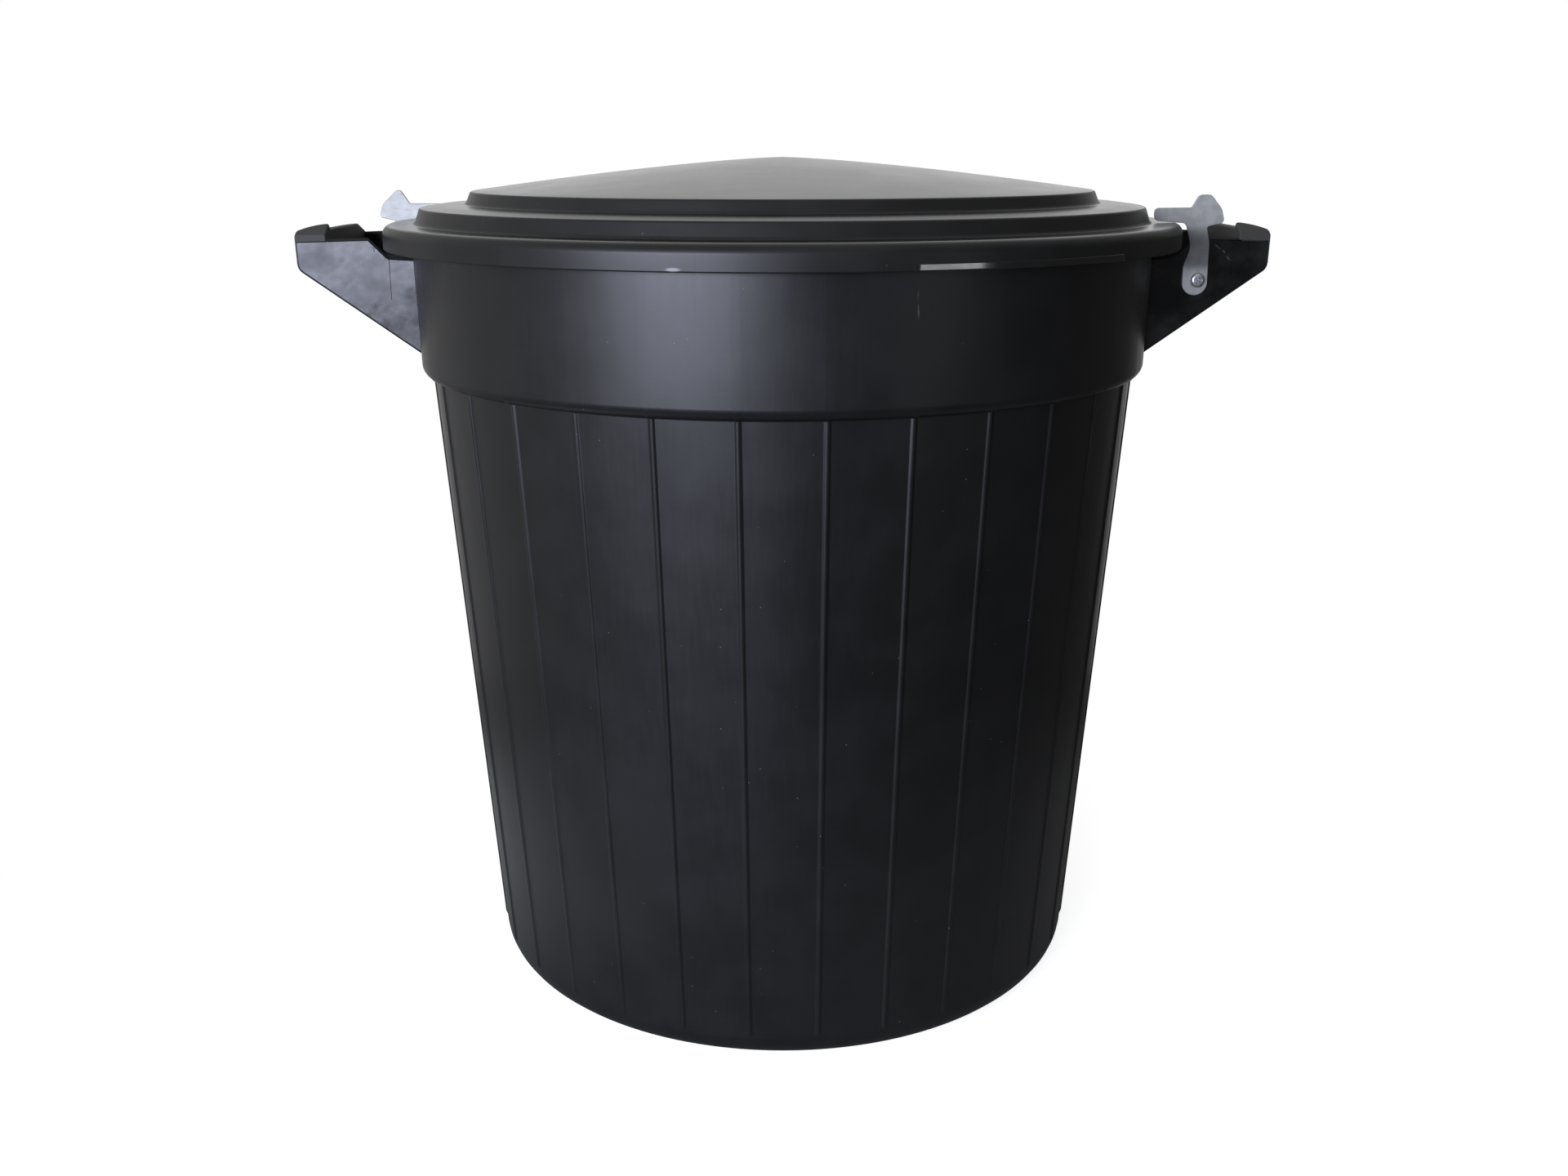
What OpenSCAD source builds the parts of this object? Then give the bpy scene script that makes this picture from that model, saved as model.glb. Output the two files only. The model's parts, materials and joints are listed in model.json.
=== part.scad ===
// Feed bin with a lift-off lid, two side handles and two turning lid clips.
// Millimetres, Z up. The origin is on the floor under the middle of the bin,
// the handles lie along X, and the front is towards -Y.

/* [Bin wall] */
// Radius of the wall's cone carried down to the floor
base_radius = 208.8; // [190:0.1:225]
// Height of the collar's underside above the floor
shoulder_height = 420.5; // [300:0.5:600]
// How much the wall's radius grows between the floor and the collar
wall_flare = 28.5; // [15:0.1:40]
// Thickness of the wall, the collar and the floor
wall = 2.5; // [1.8:0.1:3.5]
// Radius of the rounding between the wall and the floor
base_rounding = 17; // [10:0.5:25]
// Height by which the floor is raised inside its foot ring
floor_recess = 4; // [2:0.5:8]
// Width of the foot ring that the bin stands on
foot_ring_width = 20; // [12:1:40]

/* [Ribs] */
// Number of upright ribs round the wall
rib_count = 30; // [12:2:40]
// Radius of a rib's rounded section
rib_radius = 2.1; // [1.8:0.1:3]
// How far a rib stands proud of the wall
rib_proud = 1; // [0.6:0.1:1.5]

/* [Collar and rim] */
// How far the collar steps out from the wall, which also rounds its lower edge
collar_step = 7.8; // [5:0.1:12]
// Height of the collar, from its underside to the top of the rim
collar_height = 94.5; // [90:0.5:120]
// How much the collar's radius grows over its height
collar_flare = 2; // [0.5:0.1:5]
// How far the rim's lip stands out from the collar
lip_width = 12; // [8:0.5:16]
// Depth of the lip's turned-down edge below the rim
lip_depth = 7; // [5:0.5:9]

/* [Lid] */
// Thickness of the lid
lid_wall = 2.5; // [1.8:0.1:3]
// Height of the lid above the rim that it rests on, and of a finger above the lid
seat_gap = 0.3; // [0.1:0.1:0.5]
// Free space between the rim's lip and the inside of the lid's skirt
skirt_gap = 3.4; // [1.5:0.1:6]
// Depth of the skirt below the flange's top
skirt_depth = 15.4; // [12:0.2:18]
// Width of the flat flange outside the first step
flange_width = 20.7; // [18:0.1:22]
// Height of the first step above the flange
first_step = 9.9; // [7:0.1:14]
// Width of the ledge between the two steps
ledge_width = 29.7; // [20:0.1:40]
// Rise of the ledge towards the middle
ledge_rise = 2.1; // [0.5:0.1:4]
// Height of the second step above the ledge
second_step = 8; // [6:0.1:12]
// How far each step's wall leans in
step_lean = 3.4; // [1:0.1:5]
// Height of the dome above the second step
dome_height = 21.2; // [10:0.2:40]
// Shape of the dome, from 1 for a cone to 2 for a rounded bowl
dome_power = 1.35; // [1.2:0.05:2]

/* [Handles] */
// Width of a handle over its two webs
handle_width = 100; // [80:1:120]
// How far a handle stands out from the collar's top
handle_length = 71.3; // [68:0.1:84]
// Thickness of a web
web_thickness = 3; // [2:0.1:4]
// Depth of a web where it meets the collar, below its outer top corner
web_depth = 74.2; // [60:0.2:78]
// Depth of a web's outer top corner below the rim
web_drop = 7.8; // [5:0.2:10]
// Rise of a web's top edge towards the bin
web_rise = 1.6; // [0:0.2:3]
// Free space between the skirt and the notch in a web, outwards
notch_gap = 3.9; // [3:0.1:6]
// Free space between the skirt and the notch in a web, downwards
notch_drop = 6.2; // [4:0.1:8]
// Width of the grip, outwards
grip_width = 20.4; // [18:0.2:24]
// Depth of the grip's outer wall below the web's outer top corner
grip_depth = 18.8; // [14:0.2:24]
// Depth of the grip's inner wall below the web's outer top corner
grip_lip_depth = 12; // [8:0.5:13]
// Height of the grip's inner edge above the web's outer top corner
grip_crown = 7; // [5:0.2:9]
// Fall of the grip's top from its inner to its outer edge
grip_fall = 2.8; // [1:0.2:4]
// Thickness of the grip's walls
grip_wall = 2.6; // [2:0.1:4]
// Width of the raised lug at the front end of the grip
lug_width = 12; // [8:0.5:16]
// Height of the lug above the grip's inner edge
lug_height = 3.2; // [1:0.2:5]

/* [Clips] */
// Thickness of a clip's plate
clip_thickness = 2; // [1.5:0.1:3]
// Distance from the lid's edge out to the pivot, in the plane of the web's face
pivot_offset = 11.2; // [11:0.1:14]
// Height of the finger's underside above the pivot
finger_height = 37; // [33:0.5:42]
// Depth of the finger
finger_depth = 9; // [7:0.2:11]
// How far the finger's tip reaches in from the pivot
finger_reach = 30.3; // [26:0.1:30.6]
// Width of the strap round the pivot
strap_width = 16.4; // [14:0.2:18]
// Width of the strap's waist
waist_width = 12.2; // [10:0.2:13]
// Height of the thumb tab's top above the finger
tab_height = 8.3; // [5:0.1:14]
// How far the thumb tab reaches out from the pivot
tab_reach = 15.6; // [12:0.2:20]

/* [Fastenings] */
// Diameter of the pivot screw's shank
screw_diameter = 5; // [4:0.5:6]
// How far the pivot screw stands out of its nut
screw_standout = 0.9; // [0.5:0.1:4]
// Pitch of the screw's thread
thread_pitch = 0.8; // [0.5:0.1:1]
// Free space round the screw in the clip's hole
pivot_play = 0.08; // [0.02:0.01:0.1]
// Free space on each side of the clip, along the screw
side_play = 0.05; // [0.03:0.01:0.1]
// Free space round the screw in the web's hole
web_hole_play = 0.25; // [0.15:0.05:0.4]
// Thickness of the nut's washer
washer_thickness = 1; // [0.8:0.1:1.5]

/* [Hidden] */
$fn = 96;

// Bin wall and foot
slope = wall_flare / shoulder_height;
cone_angle = atan(slope);
wall_across = wall / cos(cone_angle);
function wall_radius(z) = base_radius + slope * z;
foot_outer = base_radius - base_rounding * (1 / cos(cone_angle) - slope);
foot_inner = foot_outer - foot_ring_width;

// Collar and rim
collar_radius = wall_radius(shoulder_height) + collar_step;
collar_top = collar_radius + collar_flare;
rim_height = shoulder_height + collar_height;
lip_radius = collar_top + lip_width;

// Lid
flange_top = rim_height + seat_gap + lid_wall;
lid_radius = lip_radius + skirt_gap + lid_wall;
skirt_bottom = flange_top - skirt_depth;
step_radius = lid_radius - flange_width;
ledge_outer = step_radius - step_lean;
ledge_inner = ledge_outer - ledge_width;
ledge_top = flange_top + first_step;
dome_radius = ledge_inner - step_lean;
dome_foot = ledge_top + ledge_rise + second_step;
dome_steps = 16;

// Handles
web_face = handle_width / 2;
web_top = rim_height - web_drop;
web_foot = web_top - web_depth;
handle_end = collar_top + handle_length;
grip_inner = handle_end - grip_width;
grip_bottom = web_top - grip_depth;
grip_top = web_top + grip_crown;
grip_lean = 1.3;
end_slope_run = 17;
end_slope_drop = 5.5;
lug_front_drop = 6.6;
skirt_x = sqrt(pow(lid_radius, 2) - pow(web_face, 2));
collar_x = sqrt(pow(collar_radius, 2) - pow(web_face, 2));
web_root = collar_x - 2 * wall;

// Clip and its pivot
pivot_x = skirt_x + pivot_offset;
pivot_z = flange_top + seat_gap - finger_height;
finger_top = finger_height + finger_depth;
tab_top = finger_top + tab_height;
eye_radius = strap_width / 2;
eye_x = -1.1;
eye_z = -1.6;
strap_outer = eye_x + eye_radius;
strap_bend = 16;
finger_root = 4.2;
finger_tip_rise = 1;
tab_lean = 3.2;
tab_corner = 3.6;
tab_lip = 3.2;

// Fastenings
shank = screw_diameter / 2;
head_radius = 0.95 * screw_diameter;
head_height = 0.7 * screw_diameter;
recess_span = 0.92 * screw_diameter;
recess_slot = 0.2 * screw_diameter;
recess_depth = 0.45 * screw_diameter;
clip_space = clip_thickness + 2 * side_play;
thread_depth = 0.54 * thread_pitch;
washer_radius = screw_diameter;
washer_bore = shank + 0.15;
washer_back = -web_thickness - washer_thickness;
nut_across_flats = 1.6 * screw_diameter;
nut_height = screw_diameter;
hex_height = 0.7 * nut_height;
screw_end = washer_back - nut_height - screw_standout;
nut_bore = shank + 0.02;
nut_collar = 0.46 * nut_across_flats;
ring_radius = 0.68 * screw_diameter;
ring_height = 0.26 * nut_height;
ring_play = 0.02;
nut_lip = 0.4;
nut_mouth = shank + 0.4;
RIGHT = 0;
LEFT = 180;

// Points of one rounded corner p = [x, y, radius] between its neighbours a and b
function corner_arc(a, p, b, steps) =
    let (ua = [a[0] - p[0], a[1] - p[1]], ub = [b[0] - p[0], b[1] - p[1]])
    let (va = ua / norm(ua), vb = ub / norm(ub))
    let (half = acos(max(-1, min(1, va * vb))) / 2)
    let (centre = [p[0], p[1]] + (va + vb) / norm(va + vb) * p[2] / sin(half))
    let (from = [p[0], p[1]] + va * p[2] / tan(half) - centre)
    let (to = [p[0], p[1]] + vb * p[2] / tan(half) - centre)
    let (start = atan2(from[1], from[0]), sweep = atan2(to[1], to[0]) - start)
    let (turn = sweep > 180 ? sweep - 360 : (sweep < -180 ? sweep + 360 : sweep))
    [for (i = [0 : steps]) centre + p[2] * [cos(start + turn * i / steps), sin(start + turn * i / steps)]];

// An outline whose corners [x, y, radius] carry their own rounding
function rounded(corners, steps = 6) = [
    for (i = [0 : len(corners) - 1])
        let (a = corners[(i + len(corners) - 1) % len(corners)], b = corners[(i + 1) % len(corners)])
        each corners[i][2] > 0 ? corner_arc(a, corners[i], b, steps) : [[corners[i][0], corners[i][1]]]
];

// Moves an outline drawn in X and Z to a slab between two values of Y
module slab_along_y(from, to) {
    translate([0, to, 0]) rotate([90, 0, 0]) linear_extrude(to - from) children();
}

// The bin's outside as a solid, with its foot ring, collar and rim
module bin_outside() {
    outline = [
        [0, floor_recess, 0],
        [foot_inner - floor_recess, floor_recess, 2],
        [foot_inner, 0, 2],
        [base_radius, 0, base_rounding],
        [wall_radius(shoulder_height), shoulder_height, 0],
        [collar_radius, shoulder_height, 0.98 * collar_step],
        [collar_top, rim_height - wall, 0.8],
        [lip_radius - wall, rim_height - wall, 0.8],
        [lip_radius - wall, rim_height - lip_depth, 0.6],
        [lip_radius, rim_height - lip_depth, 0.6],
        [lip_radius, rim_height, 1.6],
        [0, rim_height, 0]
    ];
    rotate_extrude() polygon(rounded(outline, 8));
}

// The space inside the bin, open at the top
module bin_inside() {
    inner_floor = floor_recess + wall;
    inner_ledge = shoulder_height + wall;
    outline = [
        [0, inner_floor, 0],
        [foot_inner - floor_recess - wall / 2, inner_floor, 2],
        [foot_inner - wall / 2, wall, 2],
        [wall_radius(wall) - wall_across, wall, base_rounding - wall],
        [wall_radius(inner_ledge) - wall_across, inner_ledge, 1.5],
        [collar_radius - wall, inner_ledge, 0.6 * collar_step],
        [collar_top - wall, rim_height, 0],
        [collar_top - wall, rim_height + wall, 0],
        [0, rim_height + wall, 0]
    ];
    rotate_extrude() polygon(rounded(outline, 8));
}

// One upright rib: a rod sunk into the wall, lost in the collar at its top
module rib() {
    foot = base_rounding;
    run = (shoulder_height + collar_step / 2 - foot) / cos(cone_angle);
    axis_radius = wall_radius(foot) + rib_proud - rib_radius;
    translate([axis_radius, 0, foot]) rotate([0, cone_angle, 0])
        cylinder(r = rib_radius, h = run, $fn = 32);
}

module ribs() {
    for (i = [0 : rib_count - 1]) rotate([0, 0, (i + 0.5) * 360 / rib_count - 90]) rib();
}

// A web's outline, with a notch at the top that clears the lid's skirt
module web_outline() {
    notch_floor = skirt_bottom - notch_drop;
    notch_x = skirt_x + notch_gap - notch_drop;
    notch_rise = web_top + web_rise - notch_floor;
    foot_slope = (grip_bottom - web_foot) / (handle_end - grip_lean - collar_x);
    outline = [
        [web_root, notch_floor - 1.3, 0],
        [notch_x, notch_floor, 3],
        [notch_x + notch_rise, web_top + web_rise, 2],
        [handle_end, web_top, 0],
        [handle_end - grip_lean, grip_bottom, 4],
        [web_root, web_foot - foot_slope * (collar_x - web_root), 0]
    ];
    polygon(rounded(outline));
}

// The grip's outside in section, with its outer edge lower than its inner edge
module grip_section(top, fall) {
    outline = [
        [grip_inner, web_top - grip_lip_depth, 1],
        [grip_inner, top, 1.2],
        [(grip_inner + 2 * handle_end) / 3, top - fall / 2, 12],
        [handle_end, top - fall, 3],
        [handle_end, web_top, 0],
        [handle_end - grip_lean, grip_bottom, 1.2],
        [handle_end - grip_lean - grip_wall, grip_bottom, 1.2],
        [handle_end - grip_lean - grip_wall, web_top - grip_lip_depth, 0]
    ];
    polygon(rounded(outline));
}

// The hollow under the grip, in section
module grip_hollow() {
    low = grip_bottom - grip_wall;
    outline = [
        [grip_inner + grip_wall, low, 0],
        [grip_inner + grip_wall, grip_top - grip_wall, 1.5],
        [handle_end - grip_wall, grip_top - grip_fall - grip_wall, 1.5],
        [handle_end - grip_lean - grip_wall, low, 0]
    ];
    polygon(rounded(outline));
}

// The grip seen from the bin, lowered at its top by a depth: it slopes down to the web at its back end
module grip_length_outline(depth) {
    crest = grip_top - depth;
    polygon(rounded([
        [-web_face, grip_bottom - grip_wall, 0],
        [-web_face, crest - lug_front_drop + lug_height, 1],
        [end_slope_run - web_face, crest + lug_height, 0],
        [web_face - end_slope_run, crest + lug_height, 0],
        [web_face - end_slope_run, crest, 6],
        [web_face, crest - end_slope_drop, 1],
        [web_face, grip_bottom - grip_wall, 0]
    ]));
}

// The lug seen from the bin, with its sloping front
module lug_length_outline() {
    lug_top = grip_top + lug_height;
    polygon(rounded([
        [-web_face, web_top, 0],
        [-web_face, lug_top - lug_front_drop, 1],
        [lug_width - web_face - 1.5, lug_top, 1],
        [lug_width - web_face, lug_top - 1, 0.6],
        [lug_width - web_face, web_top, 0]
    ]));
}

// Moves an outline drawn in Y and Z to the stretch of X that the grip takes
module across_grip() {
    translate([grip_inner, 0, 0]) rotate([90, 0, 90]) linear_extrude(grip_width) children();
}

// A handle on the right: two webs, the grip between their outer ends and its lug
module handle() {
    slab_along_y(-web_face, web_thickness - web_face) web_outline();
    slab_along_y(web_face - web_thickness, web_face) web_outline();
    difference() {
        intersection() {
            slab_along_y(-web_face, web_face) grip_section(grip_top, grip_fall);
            across_grip() grip_length_outline(0);
        }
        intersection() {
            slab_along_y(web_thickness - web_face, web_face - web_thickness) grip_hollow();
            across_grip() grip_length_outline(grip_wall);
        }
    }
    intersection() {
        slab_along_y(-web_face, lug_width - web_face)
            grip_section(grip_top + lug_height, grip_fall + lug_height / 2);
        across_grip() lug_length_outline();
    }
}

// Places what turns on or fastens to a web: Z points out of the web and X away from the bin
module on_pivot(side) {
    rotate([0, 0, side]) translate([pivot_x, -web_face, pivot_z]) rotate([90, 0, 0]) children();
}

module bin_body() {
    color([0.07, 0.07, 0.07]) difference() {
        union() {
            bin_outside();
            ribs();
            handle();
            mirror([1, 0, 0]) handle();
        }
        bin_inside();
        for (side = [RIGHT, LEFT]) on_pivot(side) translate([0, 0, -web_thickness - 1])
            cylinder(r = shank + web_hole_play, h = web_thickness + 2, $fn = 48);
    }
}

// Height of the dome's outside above its foot, at a radius
function dome_z(r) = dome_foot + dome_height * (1 - pow(r / dome_radius, dome_power));

module lid() {
    outside = [
        [lid_radius - lid_wall, skirt_bottom, 0.8],
        [lid_radius, skirt_bottom, 0.8],
        [lid_radius, flange_top, 3],
        [step_radius, flange_top, 2],
        [ledge_outer, ledge_top, 2.2],
        [ledge_inner, ledge_top + ledge_rise, 2],
        [dome_radius, dome_foot, 2.2]
    ];
    under_step = step_radius - lid_wall;
    under_ledge = ledge_inner - lid_wall;
    inside = [
        [dome_radius - lid_wall, dome_foot - lid_wall, 1],
        [under_ledge, ledge_top + ledge_rise - lid_wall, 2],
        [under_step - step_lean, ledge_top - lid_wall, 1],
        [under_step, flange_top - lid_wall, 2],
        [lid_radius - lid_wall, flange_top - lid_wall, 1.2]
    ];
    dome_radii = [for (i = [1 : dome_steps]) dome_radius * (1 - i / dome_steps)];
    dome_out = [for (r = dome_radii) [r, dome_z(r), 0]];
    dome_in = [for (i = [dome_steps - 1 : -1 : 0]) [dome_radii[i], dome_z(dome_radii[i]) - lid_wall, 0]];
    color([0.09, 0.09, 0.08]) rotate_extrude() polygon(rounded(concat(outside, dome_out, dome_in, inside)));
}

// A clip's outline with its pivot at the origin: an eye, a strap, a finger to the left
// that locks the lid, and a thumb tab above
module clip_outline() {
    inner = strap_outer - strap_width;
    waist = strap_outer - waist_width;
    eye_foot = eye_z - eye_radius;
    eye_corner = 0.98 * eye_radius;
    eye_shoulder = 1.22 * eye_radius;
    corners = [
        [strap_outer, eye_foot, eye_corner],
        [inner, eye_foot, eye_corner],
        [inner, eye_shoulder, strap_bend - 2],
        [waist, 0.55 * finger_height, strap_bend],
        [waist - finger_root, finger_height, finger_root + 0.8],
        [-finger_reach, finger_height + finger_tip_rise, 0.4 * finger_depth],
        [-finger_reach, finger_top, 0.3 * finger_depth],
        [waist - 1.2, finger_top + 0.2, 2],
        [waist + tab_lean, tab_top, tab_corner],
        [strap_outer - 0.8, tab_top, tab_corner],
        [tab_reach, finger_height + tab_lip, tab_lip - 0.2],
        [tab_reach - 1.4, finger_height - 0.8, 2.2],
        [strap_outer - 2.3, finger_height - 2.8, 1.6],
        [strap_outer + 0.3, 0.65 * finger_height, strap_bend]
    ];
    polygon(rounded(corners, 10));
}

module clip(side) {
    color([0.66, 0.68, 0.7]) on_pivot(side) translate([0, 0, side_play]) difference() {
        linear_extrude(clip_thickness) clip_outline();
        translate([0, 0, -1]) cylinder(r = shank + pivot_play, h = clip_thickness + 2);
    }
}

// A pan-head screw with a cross recess, its thread as ridges behind a plain shank
module pivot_screw(side) {
    ridges = floor((-web_thickness - screw_end) / thread_pitch) - 1;
    thread = [for (i = [0 : ridges - 1]) each [
        [shank - thread_depth, -web_thickness - (i + 0.5) * thread_pitch],
        [shank, -web_thickness - (i + 1) * thread_pitch]
    ]];
    point = [[shank - 1.5 * thread_depth, screw_end], [0, screw_end]];
    head = rounded([
        [0, clip_space, 0],
        [head_radius, clip_space, 0.3],
        [head_radius, clip_space + 0.96 * head_height, 0.65 * head_height],
        [0, clip_space + head_height, 0]
    ]);
    color([0.75, 0.76, 0.78]) on_pivot(side) difference() {
        union() {
            rotate_extrude() polygon(head);
            rotate_extrude() polygon(concat([[0, clip_space + 1], [shank, clip_space + 1],
                [shank, -web_thickness]], thread, point));
        }
        for (turn = [45, 135]) rotate([0, 0, turn])
            translate([-recess_span / 2, -recess_slot / 2, clip_space + head_height - recess_depth])
                cube([recess_span, recess_slot, head_height]);
        translate([0, 0, clip_space + head_height - recess_depth])
            cylinder(r1 = recess_slot / 2, r2 = recess_slot, h = recess_depth + 1, $fn = 32);
    }
}

module nut_washer(side) {
    color([0.72, 0.73, 0.75]) on_pivot(side) translate([0, 0, washer_back]) difference() {
        cylinder(r = washer_radius, h = washer_thickness);
        translate([0, 0, -1]) cylinder(r = washer_bore, h = washer_thickness + 2);
    }
}

// A hexagonal lock nut whose collar holds a nylon ring
module lock_nut(side) {
    hex_radius = nut_across_flats / 2 / cos(30);
    color([0.72, 0.73, 0.75]) on_pivot(side) translate([0, 0, washer_back]) mirror([0, 0, 1]) difference() {
        union() {
            intersection() {
                cylinder(r = hex_radius, h = hex_height, $fn = 6);
                cylinder(r1 = nut_across_flats / 2 + 0.2, r2 = nut_across_flats / 2 + 0.2 + 2 * hex_height,
                    h = hex_height);
                cylinder(r1 = nut_across_flats / 2 + 0.1 + 2 * hex_height, r2 = nut_across_flats / 2 + 0.1,
                    h = hex_height);
            }
            cylinder(r = nut_collar, h = nut_height);
        }
        translate([0, 0, -1]) cylinder(r = nut_bore, h = nut_height + 2);
        translate([0, 0, nut_height - nut_lip - ring_height])
            cylinder(r = ring_radius, h = ring_height);
        translate([0, 0, nut_height - nut_lip - ring_height])
            cylinder(r = nut_mouth, h = nut_height);
    }
}

module nut_ring(side) {
    color([0.9, 0.9, 0.88]) on_pivot(side)
        translate([0, 0, washer_back - nut_height + nut_lip + ring_play]) difference() {
            cylinder(r = ring_radius - ring_play, h = ring_height - 2 * ring_play);
            translate([0, 0, -1]) cylinder(r = nut_bore, h = ring_height + 2);
        }
}

bin_body();
lid();
clip(RIGHT);  // right_clip
clip(LEFT);  // left_clip
pivot_screw(RIGHT);  // right_pivot_screw
pivot_screw(LEFT);  // left_pivot_screw
nut_washer(RIGHT);  // right_nut_washer
nut_washer(LEFT);  // left_nut_washer
lock_nut(RIGHT);  // right_lock_nut
lock_nut(LEFT);  // left_lock_nut
nut_ring(RIGHT);  // right_nut_ring
nut_ring(LEFT);  // left_nut_ring
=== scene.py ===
import json
import math
from functools import reduce
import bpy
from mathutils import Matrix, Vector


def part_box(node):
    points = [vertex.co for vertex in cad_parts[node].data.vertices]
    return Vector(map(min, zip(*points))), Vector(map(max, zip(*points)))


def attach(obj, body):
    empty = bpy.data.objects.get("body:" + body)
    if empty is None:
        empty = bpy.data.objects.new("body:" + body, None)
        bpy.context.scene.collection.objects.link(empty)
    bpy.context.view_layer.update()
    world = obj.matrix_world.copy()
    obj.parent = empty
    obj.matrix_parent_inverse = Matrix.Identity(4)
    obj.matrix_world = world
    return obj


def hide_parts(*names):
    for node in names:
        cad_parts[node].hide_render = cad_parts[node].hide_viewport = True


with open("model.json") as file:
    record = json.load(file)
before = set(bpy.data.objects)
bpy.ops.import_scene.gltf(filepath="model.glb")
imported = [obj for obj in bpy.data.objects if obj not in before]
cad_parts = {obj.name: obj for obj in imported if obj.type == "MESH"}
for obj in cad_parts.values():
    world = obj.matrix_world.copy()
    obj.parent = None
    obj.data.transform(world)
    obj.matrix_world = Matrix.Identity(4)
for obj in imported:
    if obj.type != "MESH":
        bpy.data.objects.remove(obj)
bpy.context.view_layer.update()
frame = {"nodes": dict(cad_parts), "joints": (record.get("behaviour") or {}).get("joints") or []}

from types import SimpleNamespace

import bmesh
import bpy
from bpy.props import FloatProperty, FloatVectorProperty, IntProperty, PointerProperty
from bpy.types import Operator, Panel, PropertyGroup
from mathutils import Matrix, Vector

bl_info = {
    "name": "Feed Bin",
    "version": (1, 0, 0),
    "blender": (4, 5, 0),
    "location": "View3D > Sidebar > Feed Bin",
    "description": "Builds a ribbed plastic feed bin with a domed lid and two turning lid clips",
    "category": "Object",
}

BODY_LOW, BODY_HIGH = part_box("bin_body")
LID_LOW, LID_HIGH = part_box("lid")
CLIP_LOW, CLIP_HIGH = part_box("right_clip")
SCREW_LOW, SCREW_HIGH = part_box("right_pivot_screw")
PIVOT = Vector(next(j["pos_m"] for j in frame["joints"] if j["name"] == "right_clip_turn"))

# Turns about the bin's axis that bring what is built on the right handle to each handle
RIGHT = 0.0
LEFT = math.pi
FULL_TURN = 2 * math.pi
# A row of points with a smaller radius than this closes on the axis
ON_AXIS = 1e-7
# Faces that meet at more than this angle are shaded with a sharp edge
CREASE = math.radians(38)
# Height of the small slope that ends the lid's smooth band at its top
BAND_EDGE = 0.00025
PLASTIC_IOR = 1.49
NYLON_IOR = 1.53
# Nearly all of a noise's values lie between these
NOISE_RANGE = (0.3, 0.7)
WHITE = (1, 1, 1, 1)


def length(name, default, description):
    """A property that holds a length in metres."""
    return FloatProperty(name=name, description=description, default=default, min=0.0,
                         precision=5, unit="LENGTH", subtype="DISTANCE")


def share(name, default, description):
    """A property that holds a plain number from 0 to 1."""
    return FloatProperty(name=name, description=description, default=default, min=0.0, max=1.0,
                         subtype="FACTOR")


def angle(name, degrees, description):
    """A property that holds an angle, given here in degrees."""
    return FloatProperty(name=name, description=description, default=math.radians(degrees),
                         unit="ROTATION", subtype="ANGLE")


def colour(name, default, description):
    """A property that holds a linear colour."""
    return FloatVectorProperty(name=name, description=description, default=default, min=0.0, max=1.0,
                               size=3, subtype="COLOR")


class FeedBinBodySizes(PropertyGroup):
    """Sizes of the bin's moulding."""
    base_radius: length("Base radius", 0.2088, "Radius of the wall's cone carried down to the floor")
    shoulder_height: length("Shoulder height", 0.4205, "Height of the collar's underside")
    wall_flare: length("Wall flare", 0.0285, "Growth of the wall's radius up to the collar")
    wall: length("Wall", 0.0025, "Thickness of the wall, the collar and the floor")
    base_rounding: length("Base rounding", 0.017, "Rounding between the wall and the floor")
    floor_recess: length("Floor recess", 0.004, "Height of the floor inside its foot ring")
    foot_ring_width: length("Foot ring width", 0.020, "Width of the ring that the bin stands on")
    rib_count: IntProperty(name="Ribs", description="Number of upright ribs", default=30, min=4)
    rib_radius: length("Rib radius", 0.0021, "Radius of a rib's rounded section")
    rib_proud: length("Rib height", 0.0010, "How far a rib stands proud of the wall")
    rib_blend: length("Rib blend", 0.00035, "Softness of the corner between a rib and the wall")
    collar_step: length("Collar step", 0.0078, "How far the collar steps out from the wall")
    collar_flare: length("Collar flare", 0.002, "Growth of the collar's radius over its height")
    rim_height: length("Rim height", 0.515, "Height of the top of the rim")
    lip_width: length("Lip width", 0.012, "How far the rim's lip stands out")
    lip_depth: length("Lip depth", 0.007, "Depth of the lip's turned-down edge")


class FeedBinLidSizes(PropertyGroup):
    """Sizes of the lid's moulding."""
    radius: length("Radius", LID_HIGH.x, "Outer radius of the skirt")
    wall: length("Wall", 0.0025, "Thickness of the lid")
    skirt_depth: length("Skirt depth", 0.0154, "Depth of the skirt below the flange's top")
    skirt_rounding: length("Skirt rounding", 0.0062, "Rounding between the skirt and the flange")
    flange_width: length("Flange width", 0.0207, "Width of the flat flange")
    first_step: length("First step", 0.0099, "Height of the first step")
    ledge_width: length("Ledge width", 0.0297, "Width of the ledge between the steps")
    ledge_rise: length("Ledge rise", 0.0021, "Rise of the ledge towards the middle")
    second_step: length("Second step", 0.008, "Height of the second step")
    step_lean: length("Step lean", 0.0034, "How far each step's wall leans in")
    dome_height: length("Dome height", 0.0212, "Height of the dome above the second step")
    dome_power: FloatProperty(name="Dome shape", description="1 is a cone and 2 a bowl", default=1.35)
    band_start: angle("Band start", 15.3, "Where the smooth band begins, from the front")
    band_end: angle("Band end", 47.5, "Where the smooth band ends, from the front")
    band_height: length("Band height", 0.0040, "Height of the smooth band on the skirt's lower edge")
    band_proud: length("Band proud", 0.0003, "How far the smooth band stands proud")


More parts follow.
